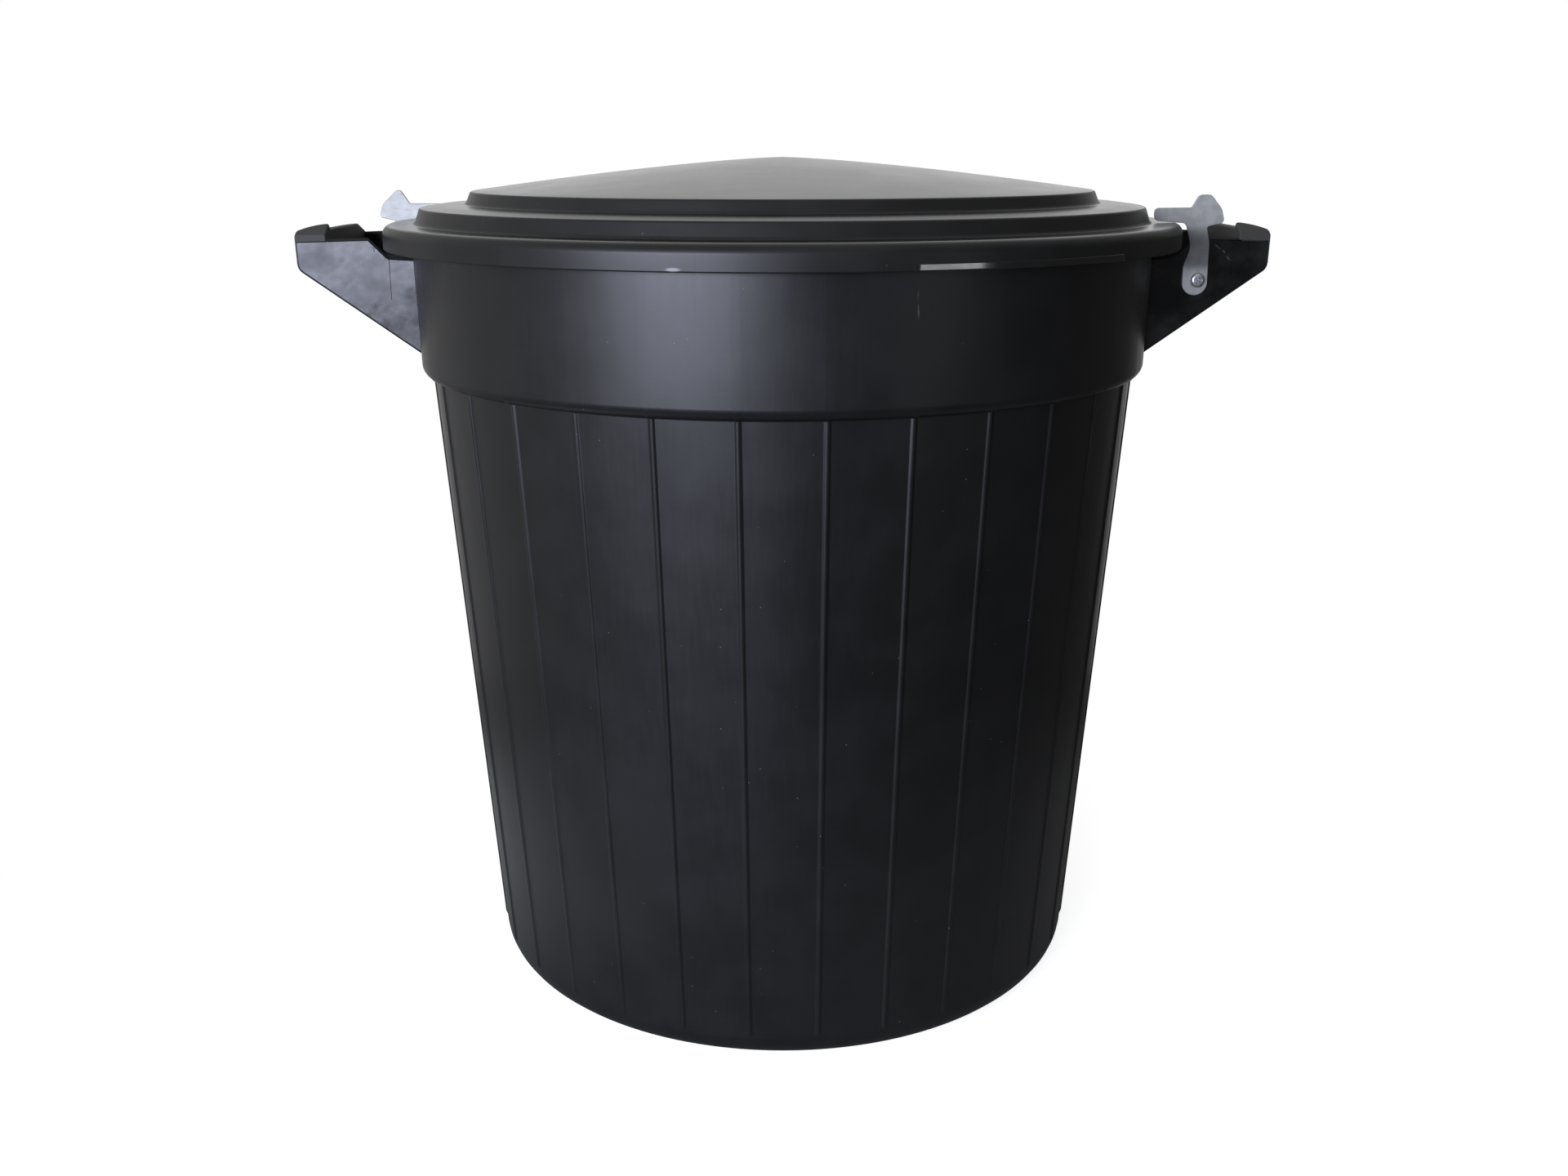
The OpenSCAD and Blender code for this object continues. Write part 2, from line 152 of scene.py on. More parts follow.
class FeedBinHandleSizes(PropertyGroup):
    """Sizes of the two handles."""
    width: length("Width", 0.100, "Width over the two webs")
    web: length("Web", 0.003, "Thickness of a web")
    web_depth: length("Web depth", 0.0742, "Depth of a web where it meets the collar")
    web_drop: length("Web drop", 0.0078, "Depth of a web's outer top corner below the rim")
    web_rise: length("Web rise", 0.0016, "Rise of a web's top edge towards the bin")
    notch_gap: length("Notch gap", 0.0039, "Space between skirt and notch, outwards")
    notch_drop: length("Notch drop", 0.0062, "Space between skirt and notch, downwards")
    notch_rounding: length("Notch rounding", 0.003, "Rounding in the notch")
    shoulder_rounding: length("Shoulder rounding", 0.002, "Rounding of a web's edge over the notch")
    top_rounding: length("Top rounding", 0.0017, "Rounding of a web's outer top corner")
    foot_rounding: length("Foot rounding", 0.0070, "Rounding of a web's outer lower corner")
    grip_width: length("Grip width", 0.0204, "Width of the grip")
    grip_depth: length("Grip depth", 0.0188, "Depth of a web at its outer end")
    grip_wall_rise: length("Grip wall rise", 0.0028, "Rise of the outer wall's edge above the web's")
    grip_lip_depth: length("Grip lip depth", 0.012, "Depth of the grip's inner wall")
    grip_crown: length("Grip crown", 0.007, "Height of the grip above the web's outer corner")
    grip_fall: length("Grip fall", 0.0028, "Fall of the grip's top towards its outer edge")
    grip_wall: length("Grip wall", 0.0026, "Thickness of the grip's walls")
    grip_lean: length("Grip lean", 0.0003, "How far the outer wall leans in at its foot")
    lug_width: length("Lug width", 0.012, "Width of the raised lug at the grip's front end")
    lug_height: length("Lug height", 0.0032, "Height of the lug above the grip")
    lug_front_drop: length("Lug front drop", 0.0066, "Fall of the lug towards the front")
    back_slope: length("Back slope", 0.017, "Length of the slope at the grip's back end")
    back_drop: length("Back drop", 0.0055, "Drop of the slope at the grip's back end")
    edge: length("Edge", 0.0006, "Rounding of the grip's ends")
    web_edge: length("Web edge", 0.0014, "Bevel of the webs' edges")


class FeedBinClipSizes(PropertyGroup):
    """Sizes of a lid clip."""
    thickness: length("Thickness", CLIP_HIGH.y - CLIP_LOW.y, "Thickness of the plate")
    finger_height: length("Finger height", 0.037, "Height of the finger's underside above the pivot")
    finger_depth: length("Finger depth", 0.009, "Depth of the finger")
    finger_reach: length("Finger reach", 0.0303, "How far the finger reaches in from the pivot")
    strap_width: length("Strap width", 0.0164, "Width of the strap round the pivot")
    waist_width: length("Waist width", 0.0122, "Width of the strap's waist")
    tab_height: length("Tab height", 0.0083, "Height of the thumb tab above the finger")
    tab_reach: length("Tab reach", 0.0156, "How far the thumb tab reaches out")
    edge: length("Edge", 0.00035, "Rounding of the pressed edges")


class FeedBinScrewSizes(PropertyGroup):
    """Sizes of a pivot screw."""
    diameter: length("Diameter", 0.005, "Diameter of the shank")
    play: length("Play", 0.00008, "Free space round the screw in the clip's hole")
    hole_play: length("Hole play", 0.00025, "Free space round the screw in the web's hole")
    pitch: length("Pitch", 0.0008, "Pitch of the thread")


class FeedBinFinish(PropertyGroup):
    """Colours and gloss of the materials."""
    bin_colour: colour("Bin", (0.0050, 0.0051, 0.0053), "Black moulded plastic of the bin")
    web_colour: colour("Webs", (0.0030, 0.0031, 0.0034), "Glossier black plastic of the webs")
    lid_colour: colour("Lid", (0.0085, 0.0085, 0.0078), "Black moulded plastic of the lid")
    clip_colour: colour("Clips", (0.435, 0.44, 0.42), "Dull zinc coating of the clips")
    screw_colour: colour("Screws", (0.66, 0.68, 0.70), "Bright zinc coating of the screws")
    washer_colour: colour("Washers", (0.58, 0.60, 0.62), "Zinc coating of the washers")
    nut_colour: colour("Nuts", (0.56, 0.57, 0.59), "Zinc coating of the lock nuts")
    nylon_colour: colour("Nylon", (0.72, 0.72, 0.68), "Natural nylon of the nuts' rings")
    bin_roughness: share("Bin roughness", 0.39, "Roughness of the bin's grain")
    lid_roughness: share("Lid roughness", 0.42, "Roughness of the lid's grain")
    web_roughness: share("Web roughness", 0.28, "Roughness of the handles' smooth webs")


class FeedBinStage(PropertyGroup):
    """Camera, lamps and floor."""
    camera_distance: length("Camera distance", 1.0681, "Distance of the camera in front of the axis")
    camera_height: length("Camera height", 0.5655, "Height of the camera above the floor")
    camera_pitch: angle("Camera pitch", 16.14, "How far the camera looks down")
    camera_roll: angle("Camera roll", -0.092, "Tilt of the camera")
    camera_lens: FloatProperty(name="Lens", description="Focal length in millimetres", default=35.006)
    camera_shift: FloatProperty(name="Shift", description="Sideways shift of the frame",
                                default=0.000625, precision=6)
    window_azimuth: angle("Window azimuth", 28.5, "Direction of the window, left of the front")
    window_elevation: angle("Window elevation", 7.7, "Direction of the window above the floor")
    window_distance: length("Window distance", 3.0, "Distance of the window")
    window_width: length("Window width", 1.9, "Width of the window")
    window_height: length("Window height", 0.6, "Height of the window")
    window_power: FloatProperty(name="Window power", description="Watts", default=124.0)
    window_colour: colour("Window light", (0.76, 0.80, 1.0), "Cool daylight of the window")
    strip_azimuth: angle("Strip azimuth", 42.3, "Direction of the small lamp, right of the front")
    strip_width: length("Strip width", 1.05, "Width of the small lamp")
    strip_height: length("Strip height", 0.16, "Height of the small lamp")
    strip_power: FloatProperty(name="Strip power", description="Watts", default=2.2)
    strip_colour: colour("Strip light", (0.95, 0.97, 1.0), "Light of the small lamp")
    floor_radius: length("Floor radius", 0.66, "Radius of the pale floor")
    floor_colour: colour("Floor", (0.62, 0.62, 0.61), "Pale floor")


# Outlines and solids


def rounded(corners, steps):
    """An outline in two dimensions whose corners (x, y, radius) carry their own rounding."""
    points = []
    for i, (x, y, radius) in enumerate(corners):
        p = Vector((x, y))
        if radius <= 0:
            points.append(p)
            continue
        to_last = (Vector(corners[i - 1][:2]) - p).normalized()
        to_next = (Vector(corners[(i + 1) % len(corners)][:2]) - p).normalized()
        half = to_last.angle(to_next) / 2
        centre = p + (to_last + to_next).normalized() * radius / math.sin(half)
        first = p + to_last * radius / math.tan(half) - centre
        last = p + to_next * radius / math.tan(half) - centre
        start = math.atan2(first.y, first.x)
        sweep = (math.atan2(last.y, last.x) - start + math.pi) % FULL_TURN - math.pi
        for k in range(steps + 1):
            turn = start + sweep * k / steps
            points.append(centre + radius * Vector((math.cos(turn), math.sin(turn))))
    return points


def divided(points, longest):
    """The same open outline with its long stretches split into equal parts."""
    result = [points[0]]
    for a, b in zip(points, points[1:]):
        parts = max(1, math.ceil((b - a).length / longest))
        result += [a.lerp(b, k / parts) for k in range(1, parts + 1)]
    return result


def circle(radius, count, centre=(0, 0)):
    """A ring of points, counter-clockwise."""
    return [Vector((centre[0] + radius * math.cos(FULL_TURN * k / count),
                    centre[1] + radius * math.sin(FULL_TURN * k / count))) for k in range(count)]


def area(loop):
    """Signed area of a closed outline, above 0 where it runs counter-clockwise."""
    return sum(a.x * b.y - b.x * a.y for a, b in zip(loop, loop[1:] + loop[:1])) / 2


def inset(loop, distance):
    """A closed outline moved sideways to its left by a distance."""
    moved = []
    for i, p in enumerate(loop):
        before = (p - loop[i - 1]).normalized()
        after = (loop[(i + 1) % len(loop)] - p).normalized()
        left_before, left_after = Vector((-before.y, before.x)), Vector((-after.y, after.x))
        moved.append(p + (left_before + left_after) * distance / (1 + left_before.dot(left_after)))
    return moved


def edge_rows(low, high, edge, steps):
    """Pairs (inset, height) of a slab's side, with both of its edges rounded in steps."""
    quarter = [math.pi / 2 * k / steps for k in range(steps + 1)]
    foot = [(edge * (1 - math.sin(t)), low + edge * (1 - math.cos(t))) for t in quarter]
    return foot + [(d, low + high - z) for d, z in reversed(foot)]


def loft(bm, rings, closed=True):
    """Faces between rings of points with the same count, with its two ends capped if closed."""
    rows = [[bm.verts.new(p) for p in ring] for ring in rings]
    count = len(rows[0])
    for a, b in zip(rows, rows[1:]):
        for k in range(count):
            m = (k + 1) % count
            bm.faces.new((a[k], a[m], b[m], b[k])).smooth = True
    if closed:
        bm.faces.new(list(reversed(rows[0])))
        bm.faces.new(rows[-1])
    return rows


def slab(bm, loops, low, high, edge, steps=3):
    """A flat plate with an outer loop and any holes, its edges rounded, or bevelled with one step."""
    ends = ([], [])
    sides = edge_rows(low, high, edge, steps)
    for i, loop in enumerate(loops):
        wanted = 1 if i == 0 else -1
        path = loop if area(loop) * wanted > 0 else list(reversed(loop))
        rows = loft(bm, [[(p.x, p.y, z) for p in inset(path, d)] for d, z in sides], closed=False)
        ends[0].append(rows[0])
        ends[1].append(rows[-1])
    for end in ends:
        edges = [bm.edges.get((ring[k - 1], ring[k])) for ring in end for k in range(len(ring))]
        bmesh.ops.triangle_fill(bm, use_beauty=True, edges=edges)


def lathe(bm, rows, columns, place):
    """A closed solid of revolution: rows run from the axis to the axis, place gives each point."""
    grid = []
    for row in rows:
        if row[0] < ON_AXIS:
            grid.append([bm.verts.new((0, 0, row[1]))] * columns)
        else:
            grid.append([bm.verts.new(place(row, c)) for c in range(columns)])
    faces = []
    for a, b in zip(grid, grid[1:]):
        for c in range(columns):
            d = (c + 1) % columns
            corners = list(dict.fromkeys((a[c], a[d], b[d], b[c])))
            faces.append(bm.faces.new(corners))
            faces[-1].smooth = True
    return faces


def around(radius, turn, z):
    """A point at a radius, with its turn measured from the front towards the right."""
    return Vector((radius * math.sin(turn), -radius * math.cos(turn), z))


def added(name, data):
    """A new object in the scene."""
    obj = bpy.data.objects.new(name, data)
    bpy.context.scene.collection.objects.link(obj)
    return obj


def added_solid(name, bm):
    """A new object in the scene made of a bmesh, which is used up."""
    mesh = bpy.data.meshes.new(name)
    bm.to_mesh(mesh)
    bm.free()
    return added(name, mesh)


def piece(name, bm, body, materials, replaces=()):
    """Turns a bmesh into a named piece that rides a body and takes its finish from a slot."""
    bmesh.ops.recalc_face_normals(bm, faces=bm.faces)
    for e in bm.edges:
        if len(e.link_faces) == 2:
            e.smooth = e.calc_face_angle() < CREASE
    obj = added_solid(name, bm)
    for material in materials:
        obj.data.materials.append(material)
    weighted = obj.modifiers.new("Even shading", "WEIGHTED_NORMAL")
    weighted.keep_sharp = True
    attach(obj, body)
    if replaces:
        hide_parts(*replaces)


def joined(bm, tool, operation):
    """The result of a boolean between two bmeshes, as a new bmesh."""
    made = []
    for source in (bm, tool):
        bmesh.ops.recalc_face_normals(source, faces=source.faces)
        made.append(added_solid("working", source))
    cut = made[0].modifiers.new("cut", "BOOLEAN")
    cut.operation = operation
    cut.solver = "EXACT"
    cut.object = made[1]
    result = bmesh.new()
    result.from_object(made[0], bpy.context.evaluated_depsgraph_get())
    for obj in made:
        mesh = obj.data
        bpy.data.objects.remove(obj)
        bpy.data.meshes.remove(mesh)
    if not result.faces:
        raise RuntimeError(f"the {operation.lower()} left nothing")
    return result


def pivot_matrix(side):
    """Places what turns on a web: Z points out of the web and X away from the bin."""
    web_face = bpy.context.scene.feed_bin_handle.width / 2
    move = Matrix.Translation((PIVOT.x, -web_face, PIVOT.z))
    return Matrix.Rotation(side, 4, "Z") @ move @ Matrix.Rotation(math.pi / 2, 4, "X")


# Materials


class Nodes:
    """A node tree whose nodes are added and joined in one call each."""

    def __init__(self, tree):
        self.tree = tree
        tree.nodes.clear()

    def fill(self, socket, value):
        """Gives a socket a value, or the output of another node."""
        if isinstance(value, bpy.types.NodeSocket):
            self.tree.links.new(value, socket)
        else:
            socket.default_value = value

    def add(self, kind, inputs=None, **settings):
        """A node with its settings and what goes into it."""
        node = self.tree.nodes.new(kind)
        for name, value in settings.items():
            setattr(node, name, value)
        for name, value in (inputs or {}).items():
            self.fill(node.inputs[name], value)
        return node

    def math(self, operation, *values):
        """The result of a calculation with one or two values."""
        node = self.add("ShaderNodeMath", operation=operation)
        for socket, value in zip(node.inputs, values):
            self.fill(socket, value)
        return node.outputs[0]

    def times(self, *values):
        """The product of two or more values."""
        return reduce(lambda a, b: self.math("MULTIPLY", a, b), values)

    def plus(self, *values):
        """The sum of two or more values."""
        return reduce(lambda a, b: self.math("ADD", a, b), values)

    def minus(self, a, b):
        """One value less another."""
        return self.math("SUBTRACT", a, b)

    def span(self, a, b):
        """The length of the diagonal over two lengths."""
        return self.math("SQRT", self.plus(self.math("POWER", a, 2.0), self.math("POWER", b, 2.0)))

    def axes(self, vector):
        """The three parts of a vector."""
        return self.add("ShaderNodeSeparateXYZ", {"Vector": vector}).outputs

    def ramp(self, value, low, high, to_low=0.0, to_high=1.0):
        """A level that goes softly from one end to the other while a value goes from low to high."""
        return self.add("ShaderNodeMapRange", {
            "Value": value, "From Min": low, "From Max": high, "To Min": to_low, "To Max": to_high,
        }, interpolation_type="SMOOTHSTEP").outputs["Result"]

    def mix(self, factor, a, b):
        """A colour between two colours."""
        node = self.add("ShaderNodeMix", data_type="RGBA")
        # The sockets of a colour mix come after those for plain numbers and vectors
        colour_a, colour_b, colour_out = 6, 7, 2
        for index, value in ((0, factor), (colour_a, a), (colour_b, b)):
            self.fill(node.inputs[index], value)
        return node.outputs[colour_out]

    def mirrored(self):
        """1 for what is seen in a reflection or through something, and 0 otherwise."""
        path = self.add("ShaderNodeLightPath").outputs
        return self.math("MAXIMUM", path["Is Glossy Ray"], path["Is Transmission Ray"])

    def in_view(self):
        """1 for what the camera sees itself, and 0 otherwise."""
        return self.add("ShaderNodeLightPath").outputs["Is Camera Ray"]


class Shader(Nodes):
    """The nodes of a material, with the place and the normal that its patterns go by."""

    def __init__(self, name):
        self.material = bpy.data.materials.new(name)
        self.material.use_nodes = True
        super().__init__(self.material.node_tree)
        coordinates = self.add("ShaderNodeTexCoord")
        self.place = coordinates.outputs["Object"]
        self.normal = coordinates.outputs["Normal"]

    def noise(self, scale, detail, stretch=(1, 1, 1), roughness=0.5):
        """Noise from 0 to 1, finer with a larger scale."""
        where = self.add("ShaderNodeMapping", {"Vector": self.place, "Scale": stretch})
        return self.add("ShaderNodeTexNoise", {
            "Vector": where.outputs["Vector"], "Scale": scale, "Detail": detail, "Roughness": roughness,
        }).outputs["Fac"]

    def bump(self, height, depth, normal=None):
        """A normal tilted by a relief of a depth in metres."""
        inputs = {"Height": height, "Distance": depth, "Strength": 1.0}
        if normal:
            inputs["Normal"] = normal
        return self.add("ShaderNodeBump", inputs).outputs["Normal"]

    def show(self, surface):
        """Makes a surface what the material shows."""
        self.add("ShaderNodeOutputMaterial", {"Surface": surface})
        return self.material

    def finish(self, **inputs):
        """Makes a principled surface of the given inputs, their names written with underscores."""
        names = {name.replace("_", " "): value for name, value in inputs.items()}
        return self.show(self.add("ShaderNodeBsdfPrincipled", names).outputs["BSDF"])


def opaque(rgb, factor=1.0):
    """A colour with its alpha, made lighter or darker by a factor."""
    return (rgb[0] * factor, rgb[1] * factor, rgb[2] * factor, 1.0)


def dust(s, cell, radius, few):
    """Sparse pale specks: 1 on a speck and 0 elsewhere."""
    cells = s.add("ShaderNodeTexVoronoi", {"Vector": s.place, "Scale": 1 / cell})
    near = s.ramp(cells.outputs["Distance"], radius / cell, radius / cell / 2)
    pick = s.add("ShaderNodeSeparateColor", {"Color": cells.outputs["Color"]}).outputs["Red"]
    return s.times(near, s.math("LESS_THAN", pick, few))


def rubbed_mark_and_painted_highlight(s, x, z, half_width, half_height, gaps):
    """A small mark on the front, as a mask with more or fewer gaps in it: a rubbed mark on the bin, and
    a painted highlight on the lid.
    """
    core, gap_blur, front = 0.35, 0.2, -0.1
    at_x, at_y, at_z = s.axes(s.place)
    across = s.math("DIVIDE", s.minus(at_x, x), half_width)
    along = s.math("DIVIDE", s.minus(at_z, z), half_height)
    spot = s.ramp(s.span(across, along), 1.0, core)
    worn = s.ramp(s.noise(900, 2, (1, 1, 0.15)), gaps, gaps + gap_blur)
    return s.times(spot, s.math("LESS_THAN", at_y, front), worn)


def moulded_plastic(name, rgb, roughness, gloss, mottle, streaks, wave, polish=None):
    """Black moulded plastic with a matt grain, draw marks and dust: its shader and its inputs."""
    s = Shader(name)
    cloud = s.noise(28, 4)
    drawn = s.noise(420, 2, (1, 1, 0.05))
    specks = dust(s, cell=0.0075, radius=0.00034, few=0.3)
    darker, lighter, dust_colour, dust_dull = 0.82, 1.2, (0.16, 0.16, 0.155, 1), 0.2
    clouded = s.mix(s.ramp(cloud, *NOISE_RANGE), opaque(rgb, darker), opaque(rgb, lighter))
    varied = s.plus(s.ramp(cloud, *NOISE_RANGE, roughness - mottle, roughness + mottle),
                    s.ramp(drawn, *NOISE_RANGE, -streaks, streaks), s.times(specks, dust_dull))
    if polish:
        dome_radius, on_top, on_dome = polish
        steep, flat, dome_blur = 0.8, 0.96, 0.01
        at_x, at_y, _ = s.axes(s.place)
        reach = s.span(at_x, at_y)
        varied = s.minus(varied, s.ramp(s.axes(s.normal)["Z"], steep, flat, 0.0, on_top))
        varied = s.minus(varied, s.ramp(reach, dome_radius, dome_radius - dome_blur, 0.0, on_dome))
    grain_depth = 0.00002
    normal = s.bump(s.noise(1500, 2), grain_depth, s.bump(s.noise(16, 2), wave))
    return s, dict(Base_Color=s.mix(specks, clouded, dust_colour), Roughness=varied, IOR=PLASTIC_IOR,
                   Specular_IOR_Level=gloss, Normal=normal)


def worn_arc(s, web_face):
    """A mask of the broken arc that each clip has scratched into the outside of its web."""
    radius, half_width, core, waver, skin = 0.0248, 0.0007, 0.00015, 0.0006, 0.0002
    x, y, z = s.axes(s.place)
    away = s.minus(s.math("ABSOLUTE", x), PIVOT.x)
    up = s.minus(z, PIVOT.z)
    wandering = s.plus(s.span(away, up), s.ramp(s.noise(160, 2), 0.2, 0.8, -waver, waver))
    line = s.ramp(s.math("ABSOLUTE", s.minus(wandering, radius)), half_width, core)
    # The arc shows only where it runs outward of the pivot and well above or below it
    outward = s.ramp(away, 0.009, 0.013)
    off_level = s.ramp(s.math("ABSOLUTE", up), 0.0115, 0.0145)
    broken = s.ramp(s.noise(240, 3), 0.44, 0.6)
    on_face = s.math("GREATER_THAN", s.math("ABSOLUTE", y), web_face - skin)
    clip_side = s.math("LESS_THAN", s.times(x, y), 0.0)
    return s.times(line, outward, off_level, broken, on_face, clip_side)


def web_plastic(name, rgb, roughness, web_face):
    """The smoother plastic of the webs, blotched, with dull edges and an arc worn by each clip."""
    s = Shader(name)
    blotch = s.noise(32, 4, roughness=0.6)
    worn = worn_arc(s, web_face)
    darker, lighter, wear_colour, wear_share = 0.8, 1.35, (0.12, 0.12, 0.125, 1), 0.4
    base = s.mix(s.ramp(blotch, 0.35, 0.7), opaque(rgb, darker), opaque(rgb, lighter))
    base = s.mix(s.times(worn, wear_share), base, wear_colour)
    smoother, rougher, wear_dull = 0.08, 0.14, 0.25
    blotched = s.ramp(blotch, 0.32, 0.7, roughness - smoother, roughness + rougher)
    face, edge, edge_dull = 0.96, 0.8, 0.5
    edges = s.ramp(s.math("ABSOLUTE", s.axes(s.normal)["Y"]), face, edge, 0.0, edge_dull)
    ripple_depth, grain_depth = 0.0004, 0.000008
    normal = s.bump(s.noise(900, 2), grain_depth, s.bump(s.noise(30, 3), ripple_depth))
    return s.finish(Base_Color=base, Roughness=s.plus(blotched, s.times(worn, wear_dull), edges),
                    IOR=PLASTIC_IOR, Specular_IOR_Level=0.48, Normal=normal)


def smooth_plastic(name, rgb):
    """The polished plastic of the lid's band."""
    s = Shader(name)
    cloud = s.noise(120, 2)
    ripple_depth = 0.00006
    return s.finish(Base_Color=s.mix(cloud, opaque(rgb, 0.85), opaque(rgb, 1.15)),
                    Roughness=s.ramp(cloud, *NOISE_RANGE, 0.10, 0.14), IOR=PLASTIC_IOR,
                    Specular_IOR_Level=1.0, Normal=s.bump(s.noise(60, 1), ripple_depth))


def zinc(name, rgb, roughness, spangle, scratches, dull, painted_shade_band=None):
    """A zinc coating: faint spangle, fine scratches, dull patches and a painted shade band that is
    darker between two heights.
    """
    s = Shader(name)
    patch = s.noise(spangle, 3)
    lines = s.noise(700, 2, (0.12, 1, 1))
    stain_share, painted_shade_tone = 0.35, 0.42
    stain = s.ramp(s.noise(90, 4, roughness=0.6), 0.52, 0.72)
    base = s.mix(s.ramp(patch, 0.35, 0.65), opaque(rgb, 0.88), opaque(rgb, 1.1))
    base = s.mix(s.times(stain, stain_share), base, opaque(rgb, dull))
    # Painted shade: between two heights the coating is darker
    if painted_shade_band:
        height = s.axes(s.place)["Z"]
        low, high = painted_shade_band
        low_blur, high_blur = 0.0065, 0.012
        between = s.times(s.ramp(height, low, low + low_blur), s.ramp(height, high, high - high_blur))
        base = s.mix(between, base, opaque(rgb, painted_shade_tone))
    smoother, rougher = 0.05, 0.07
    varied = s.plus(s.ramp(patch, *NOISE_RANGE, roughness - smoother, roughness + rougher),
                    s.ramp(lines, 0.55, 0.7, 0.0, scratches))
    scratch_depth, ripple_depth = 0.000006, 0.00002
    normal = s.bump(s.noise(260, 2), ripple_depth, s.bump(lines, scratch_depth))
    return s.finish(Base_Color=base, Metallic=1.0, Roughness=varied, Normal=normal)


def nylon(name, rgb):
    """Natural nylon, waxy and a little translucent to the eye."""
    s = Shader(name)
    cloud = s.noise(500, 2)
    grain_depth = 0.00001
    return s.finish(Base_Color=s.mix(cloud, opaque(rgb, 0.9), opaque(rgb, 1.05)),
                    Roughness=s.ramp(cloud, *NOISE_RANGE, 0.32, 0.42), IOR=NYLON_IOR,
                    Normal=s.bump(s.noise(1200, 2), grain_depth))


def dress(node, material):
    """Gives a carried-over solid its material."""
    mesh = frame["nodes"][node].data
    mesh.materials.clear()
    mesh.materials.append(material)


# The bin's moulding


def bin_lines(s):
    """The lines of the bin's moulding that follow from its sizes."""
    slope = s.wall_flare / s.shoulder_height
    lean = math.atan(slope)
    collar_radius = s.base_radius + s.wall_flare + s.collar_step
    foot_outer = s.base_radius - s.base_rounding * (1 / math.cos(lean) - slope)
    return SimpleNamespace(
        slope=slope,
        across=s.wall / math.cos(lean),
        wall_radius=lambda z: s.base_radius + slope * z,
        foot_inner=foot_outer - s.foot_ring_width,
        collar_radius=collar_radius,
        collar_top=collar_radius + s.collar_flare,
        lip_radius=collar_radius + s.collar_flare + s.lip_width,
    )


def shell_rows(s):
    """Rows (radius, height, share of rib) of the bin's moulding, from under its floor to above it."""
    line = bin_lines(s)
    top, floor, ledge = s.rim_height, s.floor_recess + s.wall, s.shoulder_height + s.wall
    # Roundings of the foot ring, of the corners at the shoulder, and of the lip and the rim
    foot, shoulder, throat = 0.002, 0.0007, 0.0015
    under_lip, lip, rim_outer, rim_inner = 0.0008, 0.0006, 0.0016, 0.0009
    # The ribs rise out of the base's rounding between these shares of its height
    rib_none, rib_full = 0.97, 1.18
    rib_foot = [s.base_rounding * k for k in (rib_none, 1.0, 1.03, 1.07, 1.12, rib_full)]
    outside = rounded([
        (0, s.floor_recess, 0),
        (line.foot_inner - s.floor_recess, s.floor_recess, foot),
        (line.foot_inner, 0, foot),
        (s.base_radius, 0, s.base_rounding),
        *[(line.wall_radius(z), z, 0) for z in rib_foot],
        (line.wall_radius(s.shoulder_height), s.shoulder_height, shoulder),
        (line.collar_radius, s.shoulder_height, 0.96 * s.collar_step),
        (line.collar_top, top - s.wall, under_lip),
        (line.lip_radius - s.wall, top - s.wall, under_lip),
        (line.lip_radius - s.wall, top - s.lip_depth, lip),
        (line.lip_radius, top - s.lip_depth, lip),
        (line.lip_radius, top, rim_outer),
        (line.collar_top - s.wall, top, rim_inner),
        (line.collar_radius - s.wall, ledge, 0),
    ], steps=7)[:-1]
    inside = rounded([
        (line.collar_top - s.wall, top, 0),
        (line.collar_radius - s.wall, ledge, 0.6 * s.collar_step),
        (line.wall_radius(ledge) - line.across, ledge, throat),
        (line.wall_radius(s.wall) - line.across, s.wall, s.base_rounding - s.wall),
        (line.foot_inner - s.wall / 2, s.wall, foot),
        (line.foot_inner - s.floor_recess - s.wall / 2, floor, foot),
        (0, floor, 0),
    ], steps=6)[1:]
    rows = []
    for p in divided(outside, longest=0.022):
        faded = min(1, max(0, (p.y / s.base_rounding - rib_none) / (rib_full - rib_none)))
        rib = faded * faded * (3 - 2 * faded)
        if p.y >= s.shoulder_height - shoulder:
            rib = max(0, 1 - (p.x - line.wall_radius(s.shoulder_height)) / s.collar_step)
        rows.append((p.x, p.y, rib if p.y < s.shoulder_height + s.collar_step else 0))
    rows += [(p.x, p.y, 0) for p in divided([outside[-1]] + inside, longest=0.03)[1:]]
    return rows


def rib_height(s, across):
    """How far the wall stands out at a distance from a rib's middle, with a soft corner."""
    sunk = s.rib_radius - s.rib_proud
    within = min(abs(across), s.rib_radius)
    height = math.sqrt(s.rib_radius ** 2 - within ** 2) - sunk - 2 * (abs(across) - within)
    return (height + math.hypot(height, s.rib_blend)) / 2


